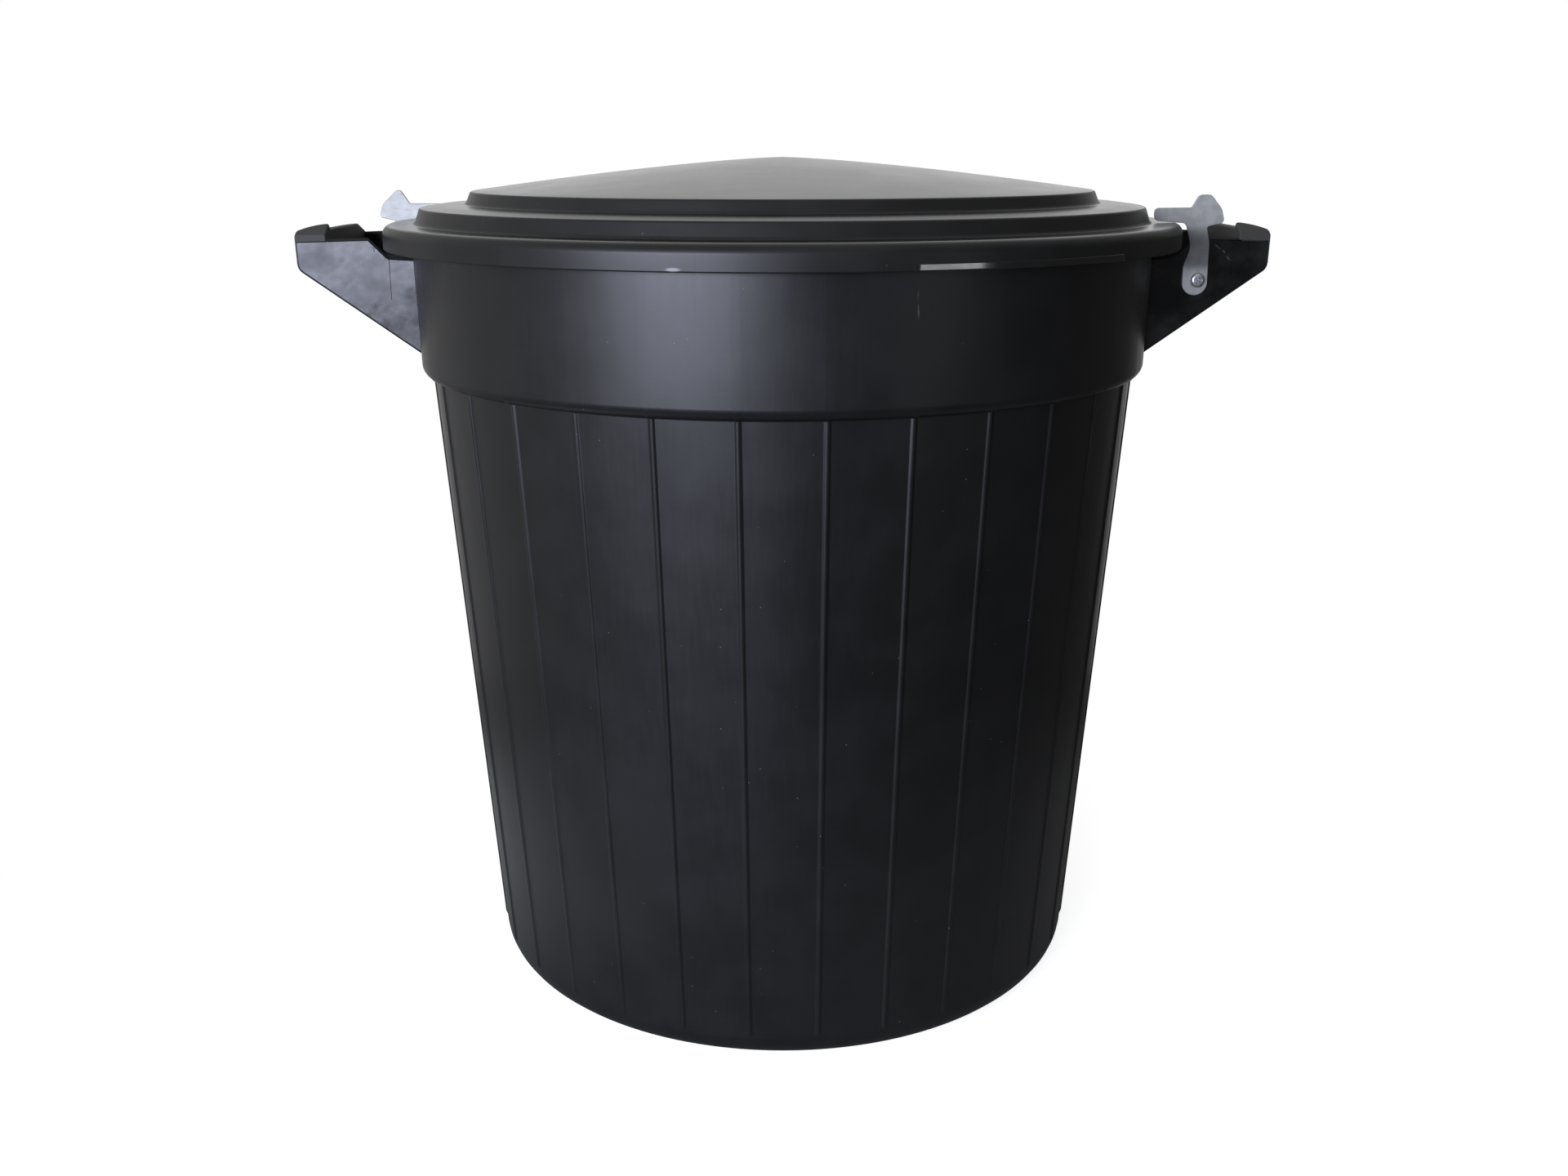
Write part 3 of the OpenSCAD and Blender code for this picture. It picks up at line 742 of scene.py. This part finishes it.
class FEEDBIN_OT_shell(Operator):
    """Add the bin's wall, ribs, collar, rim and floor"""
    bl_idname = "feed_bin.shell"
    bl_label = "Bin Shell"
    bl_options = {"REGISTER", "UNDO"}

    def execute(self, context):
        s = context.scene.feed_bin_body
        finish = context.scene.feed_bin_finish
        # Columns lie at these distances from a rib's middle, and evenly between two ribs
        spots = [0.0004, 0.0008, 0.0012, 0.0016, 0.0019, 0.0022, 0.0026, 0.0032]
        spots = [-x for x in reversed(spots)] + [0.0] + spots
        between = 6
        per_rib = len(spots) + between
        pitch = FULL_TURN / s.rib_count
        # Within this radius a column keeps its turn and runs to the axis
        converging = 0.08

        def place(row, column):
            radius, z, rib = row
            which, k = divmod(column, per_rib)
            middle = (which + 0.5) * pitch
            if k < len(spots):
                turn = spots[k] / max(radius, converging)
                radius += rib * rib_height(s, spots[k])
            else:
                reach = spots[-1] / max(radius, converging)
                turn = reach + (pitch - 2 * reach) * (k - len(spots) + 1) / (between + 1)
            return around(radius, middle + turn, z)

        bm = bmesh.new()
        lathe(bm, shell_rows(s), per_rib * s.rib_count, place)
        shader, surface = moulded_plastic("bin_plastic", finish.bin_colour, finish.bin_roughness,
                                          gloss=0.5, mottle=0.018, streaks=0.010, wave=0.00012)
        rubbed = rubbed_mark_and_painted_highlight(shader, x=0.0735, z=0.484, half_width=0.0013, half_height=0.0095, gaps=0.42)
        scuff_colour = (0.06, 0.06, 0.063, 1)
        surface["Base_Color"] = shader.mix(rubbed, surface["Base_Color"], scuff_colour)
        piece("bin_shell", bm, "bin", [shader.finish(**surface)], ["bin_body"])
        return {"FINISHED"}


# Handles


def web_loops(s, body, pierced):
    """The outline of a web in X and Z, with the screw's hole where it has one."""
    line = bin_lines(body)
    half = s.width / 2
    # The web's root is sunk into the collar, and its end stays just inside the grip's
    sunk, end_gap, floor_fall, foot_fall = 0.0008, 0.00006, 0.0010, 0.0004
    skirt_x = math.sqrt(LID_HIGH.x ** 2 - half ** 2)
    root = math.sqrt(line.collar_radius ** 2 - half ** 2) - sunk
    end = BODY_HIGH.x - end_gap
    top = body.rim_height - s.web_drop
    floor = LID_LOW.z - s.notch_drop
    notch_x = skirt_x + s.notch_gap - s.notch_drop
    rise = top + s.web_rise - floor
    outline = rounded([
        (root, floor - floor_fall, 0),
        (notch_x, floor, s.notch_rounding),
        (notch_x + rise, top + s.web_rise, s.shoulder_rounding),
        (end, top, s.top_rounding),
        (end - s.grip_lean, top - s.grip_depth, s.foot_rounding),
        (root, top - s.web_depth - foot_fall, 0),
    ], steps=6)
    screw = bpy.context.scene.feed_bin_screw
    hole = circle(screw.diameter / 2 + screw.hole_play, 40, (PIVOT.x, PIVOT.z))
    return [outline, hole] if pierced else [outline]


def upright(bm, y):
    """Turns a plate drawn flat in X and Y to stand in X and Z, with its height measured from y."""
    bmesh.ops.transform(bm, verts=bm.verts, matrix=Matrix.Translation((0, y, 0))
                        @ Matrix.Rotation(math.pi / 2, 4, "X"))


def end_slope(s, y):
    """Height above the grip's crest that its top may reach at a place along it."""
    half = s.width / 2
    lug_flat = 0.0015
    front = s.lug_height - s.lug_front_drop * max(0, 1 - (y + half) / (s.lug_width - lug_flat))
    back = -s.back_drop * max(0, 1 - (half - y) / s.back_slope)
    return min(front, back) if y > 0 else front


def grip_top(s, crest, y, outward):
    """Height of the grip's top at a place along it and across it, from 0 inside to 1 outside."""
    lug_softness, bulge = 0.0012, 1.7
    top, fall = crest, s.grip_fall
    along = y + s.width / 2
    if along < s.lug_width:
        top += s.lug_height - max(0, along - s.lug_width + lug_softness) ** 2 / lug_softness
        fall += s.lug_height / 2
    return min(top - fall * outward ** bulge, crest + end_slope(s, y))


def grip_section(s, body, y):
    """The grip's outside in X and Z at a place along it."""
    # Roundings of the inner wall's foot, the outer wall's foot and the top's two edges
    inner_lip, lip, foot, outer_top, inner_top = 0.0009, 0.0005, 0.0010, 0.0020, 0.0013
    end = BODY_HIGH.x
    inner = end - s.grip_width
    wall = end - s.grip_lean - s.grip_wall
    web_top = body.rim_height - s.web_drop
    crest = web_top + s.grip_crown
    low = web_top - s.grip_lip_depth
    wall_foot = web_top - s.grip_depth + s.grip_wall_rise
    top = [grip_top(s, crest, y, k / 8) for k in range(9)]
    return rounded([
        (inner, low, inner_lip),
        (wall, low, lip),
        (wall, wall_foot, foot),
        (end - s.grip_lean, wall_foot, foot),
        (end, web_top, 0),
        (end, top[8], min(outer_top, 0.9 * (top[8] - web_top))),
        *[(inner + s.grip_width * k / 8, top[k], 0) for k in range(6, 0, -1)],
        (inner, top[0], inner_top),
    ], steps=5)


def grip_hollow(s, body, y):
    """The hollow under the grip in X and Z at a place along it."""
    below, least_wall, rounding = 0.004, 0.0003, 0.0015
    end = BODY_HIGH.x
    inner = end - s.grip_width + s.grip_wall
    web_top = body.rim_height - s.web_drop
    crest = web_top + s.grip_crown
    low = web_top - s.grip_depth - below
    limit = crest + end_slope(s, y)
    return rounded([
        (inner, low, 0),
        (end - s.grip_lean - s.grip_wall, low, 0),
        (end - s.grip_wall, min(crest - s.grip_fall, limit - least_wall) - s.grip_wall, rounding),
        (inner, min(crest, limit) - s.grip_wall, rounding),
    ], steps=5)


def grip_places(s):
    """Places (y, inset) of the grip's sections, close together at its ends and at the lug's step."""
    within_web, past_lug, least = 0.0004, 0.001, 1e-5
    half = s.width / 2
    end = half - within_web
    lug = s.lug_width - half
    slope = half - s.back_slope
    rounding = [(end, s.edge), (end - 0.3 * s.edge, 0.3 * s.edge), (end - s.edge, 0)]
    places = [(-y, d) for y, d in rounding]
    places += [(-half + s.lug_width * k / 8, 0) for k in range(1, 7)]
    places += [(lug + y, 0) for y in (-0.0012, -0.0008, -0.0004, -0.00005, 0.00005, 0.0008)]
    places += [(lug + past_lug + (slope - lug - 4 * past_lug) * k / 8, 0) for k in range(1, 9)]
    places += [(slope + s.back_slope * k / 9, 0) for k in range(9)]
    places += reversed(rounding)
    return [p for i, p in enumerate(places) if i == 0 or p[0] > places[i - 1][0] + least]


def grip_solid(s, body):
    """The grip with its lug and its hollow."""
    grip = bmesh.new()
    loft(grip, [[(p.x, y, p.y) for p in inset(grip_section(s, body, y), d)] for y, d in grip_places(s)])
    hollow = bmesh.new()
    into_web = 0.00003
    deep = s.width / 2 - s.web - into_web
    stations = [-deep + 2 * deep * k / 24 for k in range(25)]
    loft(hollow, [[(p.x, y, p.y) for p in grip_hollow(s, body, y)] for y in stations])
    return joined(grip, hollow, "DIFFERENCE")


def witness_groove(x, low, high, web_face):
    """A thin wedge that cuts a mould line into the front of a web."""
    half, deep, in_front = 0.0004, 0.0004, 0.0005
    bm = bmesh.new()
    front = -web_face - in_front
    section = [(x - half, front), (x + half, front), (x, -web_face + deep)]
    loft(bm, [[(px, py, z) for px, py in section] for z in (low, high)])
    return bm


def top_groove(s, body):
    """A thin wedge that cuts a line under the top edge of the front web."""
    half, deep, below, in_front = 0.0005, 0.0010, 0.0013, 0.0005
    start, end = LID_HIGH.x - 0.004, BODY_HIGH.x - 0.0008
    face = -s.width / 2
    height = body.rim_height - s.web_drop - below
    bm = bmesh.new()
    section = [(face - in_front, half), (face - in_front, -half), (face + deep, 0)]
    loft(bm, [[(x, y, height + rise + dz) for y, dz in section]
              for x, rise in ((start, s.web_rise), (end, 0))])
    return bm


class FEEDBIN_OT_handles(Operator):
    """Add the two handles, each with two webs, a grip and its lug"""
    bl_idname = "feed_bin.handles"
    bl_label = "Handles"
    bl_options = {"REGISTER", "UNDO"}

    def execute(self, context):
        s, body = context.scene.feed_bin_handle, context.scene.feed_bin_body
        finish = context.scene.feed_bin_finish
        grained = bpy.data.materials["bin_plastic"]
        smooth = web_plastic("web_plastic", finish.web_colour, finish.web_roughness, s.width / 2)
        # Place from the axis, foot and top of each mould line on the left handle
        mould_lines = ((0.2575, 0.4690, 0.4975), (0.2668, 0.4995, 0.5040))
        for side, name, hole_in_front in ((1, "handle_right", True), (-1, "handle_left", False)):
            handle = grip_solid(s, body)
            for front in (True, False):
                web = bmesh.new()
                slab(web, web_loops(s, body, front == hole_in_front), 0, s.web, s.web_edge, steps=1)
                upright(web, s.web - s.width / 2 if front else s.width / 2)
                for face in web.faces:
                    face.material_index = 1
                handle = joined(handle, web, "UNION")
            handle = joined(handle, top_groove(s, body), "DIFFERENCE")
            if side < 0:
                for x, low, high in mould_lines:
                    handle = joined(handle, witness_groove(x, low, high, s.width / 2), "DIFFERENCE")
                bmesh.ops.transform(handle, verts=handle.verts, matrix=Matrix.Scale(-1, 4, (1, 0, 0)))
            piece(name, handle, "bin", [grained, smooth])
        return {"FINISHED"}


# Lid


def lid_rows(s):
    """Rows (radius, height) of the lid's outside and then its inside, from the axis to the axis."""
    flange_top = LID_LOW.z + s.skirt_depth
    step = s.radius - s.flange_width
    ledge_outer = step - s.step_lean
    ledge_inner = ledge_outer - s.ledge_width
    ledge_top = flange_top + s.first_step
    dome_radius = ledge_inner - s.step_lean
    dome_foot = ledge_top + s.ledge_rise + s.second_step
    # Roundings from the dome's edge down to the skirt's foot, then those underneath
    step_top, second_foot, first_foot, skirt_foot = 0.0022, 0.0030, 0.0032, 0.0009
    skirt_inner, convex, concave = 0.0012, 0.0020, 0.0010
    # A wide rounding part of the way across crowns the ledge
    crown = (ledge_outer - 0.45 * s.ledge_width, ledge_top + 0.85 * s.ledge_rise, 0.06)

    def dome(radius):
        return dome_foot + s.dome_height * (1 - (radius / dome_radius) ** s.dome_power)

    rings = [dome_radius * k / 26 for k in range(1, 26)]
    outside = rounded([
        (0, dome(0), 0),
        *[(r, dome(r), 0) for r in rings],
        (dome_radius, dome_foot, step_top),
        (ledge_inner, ledge_top + s.ledge_rise, second_foot),
        crown,
        (ledge_outer, ledge_top, step_top),
        (step, flange_top, first_foot),
        (s.radius, flange_top, s.skirt_rounding),
        (s.radius, LID_LOW.z + s.band_height, 0),
        (s.radius, LID_LOW.z + s.band_height - BAND_EDGE, 0),
        (s.radius, LID_LOW.z, skirt_foot),
        (s.radius - s.wall, LID_LOW.z, skirt_foot),
        (s.radius - s.wall, flange_top - s.wall, 0),
    ], steps=8)[:-1]
    under_step, under_ledge = step - s.wall, ledge_inner - s.wall
    inside = rounded([
        (s.radius - s.wall, LID_LOW.z, 0),
        (s.radius - s.wall, flange_top - s.wall, skirt_inner),
        (under_step, flange_top - s.wall, convex),
        (under_step - s.step_lean, ledge_top - s.wall, concave),
        (under_ledge, ledge_top + s.ledge_rise - s.wall, convex),
        (dome_radius - s.wall, dome_foot - s.wall, concave),
        *[(r, dome(r) - s.wall, 0) for r in reversed(rings)],
        (0, dome(0) - s.wall, 0),
    ], steps=6)[1:]
    under = divided([outside[-1]] + inside, longest=0.012)[1:]
    return [(p.x, p.y) for p in divided(outside, longest=0.009) + under]


class FEEDBIN_OT_lid(Operator):
    """Add the domed lid with its two steps, its skirt and the smooth band on it"""
    bl_idname = "feed_bin.lid"
    bl_label = "Lid"
    bl_options = {"REGISTER", "UNDO"}

    def execute(self, context):
        s = context.scene.feed_bin_lid
        finish = context.scene.feed_bin_finish
        columns = 384
        # The band's ends are sharp steps, this angle to each side of them
        step = math.radians(0.05)
        plain = [FULL_TURN * k / columns for k in range(columns)]
        ends = [s.band_start - step, s.band_start + step, s.band_end - step, s.band_end + step]
        turns = sorted([t for t in plain if all(abs(t - e) > 3 * step for e in ends)] + ends)
        band_top = LID_LOW.z + s.band_height
        outer_row, outer_face = s.radius - 0.0005, s.radius - 0.0004

        def place(row, column):
            radius, z = row
            turn = turns[column]
            on_band = s.band_start < turn < s.band_end and z < band_top - BAND_EDGE / 2
            if on_band and radius > outer_row:
                radius += s.band_proud
            return around(radius, turn, z)

        bm = bmesh.new()
        for face in lathe(bm, lid_rows(s), len(turns), place):
            middle = face.calc_center_median()
            turn = math.atan2(middle.x, -middle.y)
            on_band = s.band_start < turn < s.band_end and middle.z < band_top
            if on_band and middle.xy.length > outer_face:
                face.material_index = 1
        # The dome's radius, and how much smoother flat places and the dome are
        polish = (0.206, 0.18, 0.02)
        shader, surface = moulded_plastic("lid_plastic", finish.lid_colour, finish.lid_roughness,
                                          gloss=0.34, mottle=0.012, streaks=0.006, wave=0.00003,
                                          polish=polish)
        # Painted highlight: a light streak on the skirt's lower edge, left of the front, where the
        # window's reflection falls
        painted_highlight = rubbed_mark_and_painted_highlight(shader, x=-0.0573, z=LID_LOW.z + 0.0016, half_width=0.0052, half_height=0.0013,
                     gaps=0.12)
        painted_highlight_colour = (0.2, 0.2, 0.205, 1)
        surface["Base_Color"] = shader.mix(painted_highlight, surface["Base_Color"], painted_highlight_colour)
        smooth = smooth_plastic("band_plastic", finish.lid_colour)
        piece("lid_moulding", bm, "lid", [shader.finish(**surface), smooth], ["lid"])
        return {"FINISHED"}


# Clips


def clip_outline(s, crown):
    """A clip's outline with its pivot at the origin: an eye, a strap, a finger and a thumb tab."""
    eye = s.strap_width / 2
    eye_rounding, eye_drop, bend = 0.98 * eye, 0.0016, 0.016
    outer = eye - 0.0011
    inner = outer - s.strap_width
    waist = outer - s.waist_width
    finger_top = s.finger_height + s.finger_depth
    tab_top = finger_top + s.tab_height + 0.3 * crown
    tab_rounding = 0.0042 - 0.4 * crown
    return rounded([
        # The eye's foot
        (outer, -eye_drop - eye, eye_rounding),
        (inner, -eye_drop - eye, eye_rounding),
        # The strap's inner side, from over the eye to its waist
        (inner, 1.22 * eye, 0.014),
        (waist, 0.55 * s.finger_height, bend),
        # The finger, from the corner under it round its tip to the corner on it
        (waist - 0.0042, s.finger_height - 0.0008, 0.0032),
        (-s.finger_reach, s.finger_height + 0.001, 0.4 * s.finger_depth),
        (-s.finger_reach, finger_top, 0.3 * s.finger_depth),
        (waist - 0.0012, finger_top + 0.0002, 0.002),
        # The thumb tab's top
        (waist + 0.0032 + 0.5 * crown, tab_top, tab_rounding),
        (outer - 0.0012 - crown, tab_top, tab_rounding),
        # The tab's outer side and the small hook under it
        (s.tab_reach - 0.0022, s.finger_height + 0.0082, 0.009),
        (s.tab_reach - 0.0004, s.finger_height + 0.0012, 0.0024),
        (s.tab_reach - 0.0016, s.finger_height - 0.0008, 0.0012),
        (outer - 0.0028, s.finger_height - 0.0028, 0.0016),
        # The strap's outer side
        (outer - 0.0004, 0.65 * s.finger_height, bend),
    ], steps=12)


class FEEDBIN_OT_clips(Operator):
    """Add the two pressed lid clips"""
    bl_idname = "feed_bin.clips"
    bl_label = "Lid Clips"
    bl_options = {"REGISTER", "UNDO"}

    def execute(self, context):
        s, screw = context.scene.feed_bin_clip, context.scene.feed_bin_screw
        low = -CLIP_HIGH.y - context.scene.feed_bin_handle.width / 2
        # Painted shade: the strap is darker from above the screw's head up to the finger
        painted_shade_band = (PIVOT.z + 0.0045, PIVOT.z + s.finger_height)
        finish = context.scene.feed_bin_finish
        steel = zinc("clip_zinc", finish.clip_colour, roughness=0.66, spangle=150, scratches=0.06,
                     dull=0.72, painted_shade_band=painted_shade_band)
        left_crown = 0.0034
        for side, name, crown in ((RIGHT, "right", 0.0), (LEFT, "left", left_crown)):
            bm = bmesh.new()
            hole = circle(screw.diameter / 2 + screw.play, 64)
            slab(bm, [clip_outline(s, crown), hole], low, low + s.thickness, s.edge)
            bmesh.ops.transform(bm, verts=bm.verts, matrix=pivot_matrix(side))
            piece(f"clip_{name}", bm, f"{name}_clip", [steel], [f"{name}_clip"])
        return {"FINISHED"}


# Screws, washers and nuts


def screw_rows(s, head_foot, head_top, web, end):
    """Rows (radius, height, share of thread) of a screw from the top of its head to its point."""
    head_rounding, shank_rounding = 0.0003, 0.0002
    shank, head = s.diameter / 2, 0.95 * s.diameter
    height = head_top - head_foot
    top = rounded([
        (0, head_top, 0),
        (head, head_foot + 0.96 * height, 0.65 * height),
        (head, head_foot, head_rounding),
        (shank, head_foot, shank_rounding),
        (shank, -web, 0),
    ], steps=8)[:-1]
    rows = [(p.x, p.y, 0) for p in divided(top, longest=0.0006)]
    # The thread grows over its first turn and fades before the point
    per_turn, fade, least_thread = 8, 6, 0.2
    step = s.pitch / per_turn
    count = int((-web - end) / step) - 2
    rows += [(shank, -web - step * k, min(1, k / per_turn, (count - k) / fade + least_thread))
             for k in range(count + 1)]
    point = shank - 0.9 * s.pitch
    return rows + [(point, end, 0), (0, end, 0)]


def cross_recess(s, head_top):
    """A tapered cross that cuts the recess into a screw's head."""
    def cross(span, slot, z):
        a, b = span / 2, slot / 2
        arm = [(a, -b), (a, b), (b, b)]
        turned = [Matrix.Rotation(math.pi / 2 * k, 2) for k in range(4)]
        return [(*(m @ Vector(p)), z) for m in turned for p in arm]

    wide, deep = 0.92 * s.diameter, 0.45 * s.diameter
    sections = [
        cross(0.55 * wide, 0.00065, head_top - deep),
        cross(wide, 0.00105, head_top - 0.15 * deep),
        cross(1.1 * wide, 0.00115, head_top + 0.0006),
    ]
    turn = math.radians(52)
    bm = bmesh.new()
    loft(bm, sections)
    bmesh.ops.rotate(bm, verts=bm.verts, matrix=Matrix.Rotation(turn, 3, "Z"))
    return bm


class FEEDBIN_OT_screws(Operator):
    """Add the two pan-head pivot screws with their cross recess and thread"""
    bl_idname = "feed_bin.screws"
    bl_label = "Pivot Screws"
    bl_options = {"REGISTER", "UNDO"}

    def execute(self, context):
        s = context.scene.feed_bin_screw
        handle = context.scene.feed_bin_handle
        clip = context.scene.feed_bin_clip
        web_face = handle.width / 2
        play = -CLIP_HIGH.y - web_face
        head_foot = clip.thickness + 2 * play
        head_top = -SCREW_LOW.y - web_face
        end = -SCREW_HIGH.y - web_face
        columns = 48
        depth = 0.54 * s.pitch
        finish = context.scene.feed_bin_finish
        steel = zinc("screw_zinc", finish.screw_colour, roughness=0.36, spangle=400, scratches=0.08,
                     dull=0.8)

        def place(row, column):
            radius, z, thread = row
            turn = column / columns
            # The thread's section is a wave with a flat crest and a flat root
            wave = abs(((-z / s.pitch - turn) % 1) * 2 - 1)
            radius -= thread * depth * min(1, max(0, 1.25 * wave - 0.1))
            return (radius * math.cos(FULL_TURN * turn), radius * math.sin(FULL_TURN * turn), z)

        for side, name in ((RIGHT, "right"), (LEFT, "left")):
            bm = bmesh.new()
            lathe(bm, screw_rows(s, head_foot, head_top, handle.web, end), columns, place)
            bm = joined(bm, cross_recess(s, head_top), "DIFFERENCE")
            bmesh.ops.transform(bm, verts=bm.verts, matrix=pivot_matrix(side))
            piece(f"screw_{name}", bm, "bin", [steel], [f"{name}_pivot_screw"])
        return {"FINISHED"}


class FEEDBIN_OT_nuts(Operator):
    """Finish the washers, the lock nuts and their nylon rings"""
    bl_idname = "feed_bin.nuts"
    bl_label = "Washers and Nuts"
    bl_options = {"REGISTER", "UNDO"}

    def execute(self, context):
        finish = context.scene.feed_bin_finish
        washer = zinc("washer_zinc", finish.washer_colour, roughness=0.34, spangle=500, scratches=0.1,
                      dull=0.75)
        nut = zinc("nut_zinc", finish.nut_colour, roughness=0.3, spangle=450, scratches=0.12, dull=0.75)
        ring = nylon("ring_nylon", finish.nylon_colour)
        for side in ("right", "left"):
            dress(f"{side}_nut_washer", washer)
            dress(f"{side}_lock_nut", nut)
            dress(f"{side}_nut_ring", ring)
        return {"FINISHED"}


# Stage


def aim(obj, target):
    """Points a lamp's or a camera's front at a place."""
    obj.rotation_euler = (Vector(target) - obj.location).to_track_quat("-Z", "Y").to_euler()


def lamp(name, turn, elevation, distance, size, power, rgb):
    """A rectangular soft lamp aimed at the middle of the bin."""
    light = bpy.data.lights.new(name, "AREA")
    light.shape = "RECTANGLE"
    light.size, light.size_y = size
    light.energy = power
    light.color = rgb
    obj = added(name, light)
    middle = Vector((0, 0, 0.3))
    obj.location = middle + around(distance * math.cos(elevation), turn, distance * math.sin(elevation))
    aim(obj, middle)


def add_camera(s):
    """The camera at the place and angle from which the bin is seen."""
    full_frame = 36
    data = bpy.data.cameras.new("camera")
    data.sensor_width = full_frame
    data.lens = s.camera_lens
    data.shift_x = s.camera_shift
    data.clip_start, data.clip_end = 0.05, 50
    obj = added("camera", data)
    obj.location = (0, -s.camera_distance, s.camera_height)
    tilt = Matrix.Rotation(math.pi / 2 - s.camera_pitch, 4, "X")
    obj.rotation_euler = (tilt @ Matrix.Rotation(s.camera_roll, 4, "Z")).to_euler()
    bpy.context.scene.camera = obj


def add_floor(s):
    """A pale round floor that keeps the bin's shadow and fades to white at its rim."""
    bm = bmesh.new()
    bmesh.ops.create_circle(bm, cap_ends=True, segments=128, radius=s.floor_radius)
    floor = added_solid("floor", bm)
    m = Shader("pale_floor")
    mirrored = m.mirrored()
    # Painted reflection: in reflections the floor is darker, except on its left, which keeps its colour
    # and puts a lighter sheen on the bin's lower left edge
    left_start, left_end, reflection_dimming, glow, lift_level = -0.12, -0.34, 0.3, 0.05, 0.8
    tone = m.mix(m.noise(60, 4), opaque(s.floor_colour, 0.99), opaque(s.floor_colour, 1.01))
    leftward = m.ramp(m.axes(m.place)["X"], left_start, left_end)
    painted_reflection_tone = m.mix(leftward, opaque(s.floor_colour, reflection_dimming), opaque(s.floor_colour))
    lit = m.add("ShaderNodeBsdfDiffuse", {"Color": m.mix(mirrored, tone, painted_reflection_tone)})
    seen = m.math("MAXIMUM", m.in_view(), m.times(mirrored, glow))
    lift = m.add("ShaderNodeEmission", {"Color": WHITE, "Strength": m.times(seen, lift_level)})
    both = m.add("ShaderNodeAddShader", {0: lit.outputs[0], 1: lift.outputs[0]})
    white = m.add("ShaderNodeEmission", {"Color": WHITE, "Strength": seen})
    from_middle = m.add("ShaderNodeVectorMath", {0: m.place}, operation="LENGTH").outputs["Value"]
    fade_start, fade_end = 0.36, 0.96 * s.floor_radius
    faded = m.ramp(from_middle, fade_start, fade_end)
    mixed = m.add("ShaderNodeMixShader", {0: faded, 1: both.outputs[0], 2: white.outputs[0]})
    floor.data.materials.append(m.show(mixed.outputs[0]))


def add_surround():
    """A white backdrop and a ceiling that only reflections see, in a dim room lighter above."""
    world = bpy.data.worlds.new("studio")
    bpy.context.scene.world = world
    world.use_nodes = True
    w = Nodes(world.node_tree)
    view = w.add("ShaderNodeTexCoord").outputs["Generated"]

    def facing(direction, low, high, away, ahead):
        """A level that goes from away to ahead as the view turns towards a direction."""
        towards = w.add("ShaderNodeVectorMath", {0: view, 1: Vector(direction).normalized()},
                        operation="DOT_PRODUCT")
        return w.ramp(towards.outputs["Value"], low, high, away, ahead)

    backdrop = facing((0, 1, 0.12), low=0.72, high=0.93, away=0.0, ahead=1.0)
    dimmed_above = facing((0, 0, 1), low=0.16, high=0.34, away=1.0, ahead=0.5)
    ceiling = facing((0, 0.707, 0.707), low=0.78, high=0.93, away=0.0, ahead=1.0)
    room = facing((-0.5, 0.2, 0.85), low=-0.5, high=0.85, away=0.055, ahead=0.5)
    bright = w.math("MAXIMUM", w.times(backdrop, dimmed_above), ceiling)
    strength = w.math("MAXIMUM", room, w.times(bright, w.mirrored()))
    strength = w.math("MAXIMUM", strength, w.in_view())
    background = w.add("ShaderNodeBackground", {"Color": WHITE, "Strength": strength})
    w.add("ShaderNodeOutputWorld", {"Surface": background.outputs[0]})


class FEEDBIN_OT_stage(Operator):
    """Add the camera, the lamps, the studio surround and the pale floor"""
    bl_idname = "feed_bin.stage"
    bl_label = "Stage"
    bl_options = {"REGISTER", "UNDO"}

    def execute(self, context):
        s = context.scene.feed_bin_stage
        context.scene.view_settings.view_transform = "Standard"
        add_camera(s)
        lamp("window", -s.window_azimuth, s.window_elevation, s.window_distance,
             (s.window_width, s.window_height), s.window_power, s.window_colour)
        lamp("strip", s.strip_azimuth, 0, s.window_distance,
             (s.strip_width, s.strip_height), s.strip_power, s.strip_colour)
        add_surround()
        add_floor(s)
        return {"FINISHED"}


class FEEDBIN_PT_panel(Panel):
    """Lists the bin's pieces, sizes and colours"""
    bl_idname = "FEEDBIN_PT_panel"
    bl_label = "Feed Bin"
    bl_space_type = "VIEW_3D"
    bl_region_type = "UI"
    bl_category = "Feed Bin"

    def draw(self, context):
        column = self.layout.column(align=True)
        for operator in OPERATORS:
            column.operator(operator.bl_idname)
        for name, group in GROUPS.items():
            box = self.layout.box()
            box.label(text=group.__doc__)
            for size in group.__annotations__:
                box.prop(getattr(context.scene, name), size)


OPERATORS = (
    FEEDBIN_OT_stage,
    FEEDBIN_OT_shell,
    FEEDBIN_OT_handles,
    FEEDBIN_OT_lid,
    FEEDBIN_OT_clips,
    FEEDBIN_OT_screws,
    FEEDBIN_OT_nuts,
)
GROUPS = {
    "feed_bin_body": FeedBinBodySizes,
    "feed_bin_lid": FeedBinLidSizes,
    "feed_bin_handle": FeedBinHandleSizes,
    "feed_bin_clip": FeedBinClipSizes,
    "feed_bin_screw": FeedBinScrewSizes,
    "feed_bin_finish": FeedBinFinish,
    "feed_bin_stage": FeedBinStage,
}


def register():
    """Adds the sizes, the operators and the panel to Blender."""
    for group in GROUPS.values():
        bpy.utils.register_class(group)
    for name, group in GROUPS.items():
        setattr(bpy.types.Scene, name, PointerProperty(type=group))
    for cls in (*OPERATORS, FEEDBIN_PT_panel):
        bpy.utils.register_class(cls)


def unregister():
    """Takes the panel, the operators and the sizes out again."""
    for cls in (FEEDBIN_PT_panel, *reversed(OPERATORS)):
        bpy.utils.unregister_class(cls)
    for name, group in GROUPS.items():
        delattr(bpy.types.Scene, name)
        bpy.utils.unregister_class(group)


def main():
    """Builds the bin on its stage."""
    register()
    bpy.ops.feed_bin.stage()
    bpy.ops.feed_bin.shell()
    bpy.ops.feed_bin.handles()
    bpy.ops.feed_bin.lid()
    bpy.ops.feed_bin.clips()
    bpy.ops.feed_bin.screws()
    bpy.ops.feed_bin.nuts()


if __name__ == "__main__":
    main()
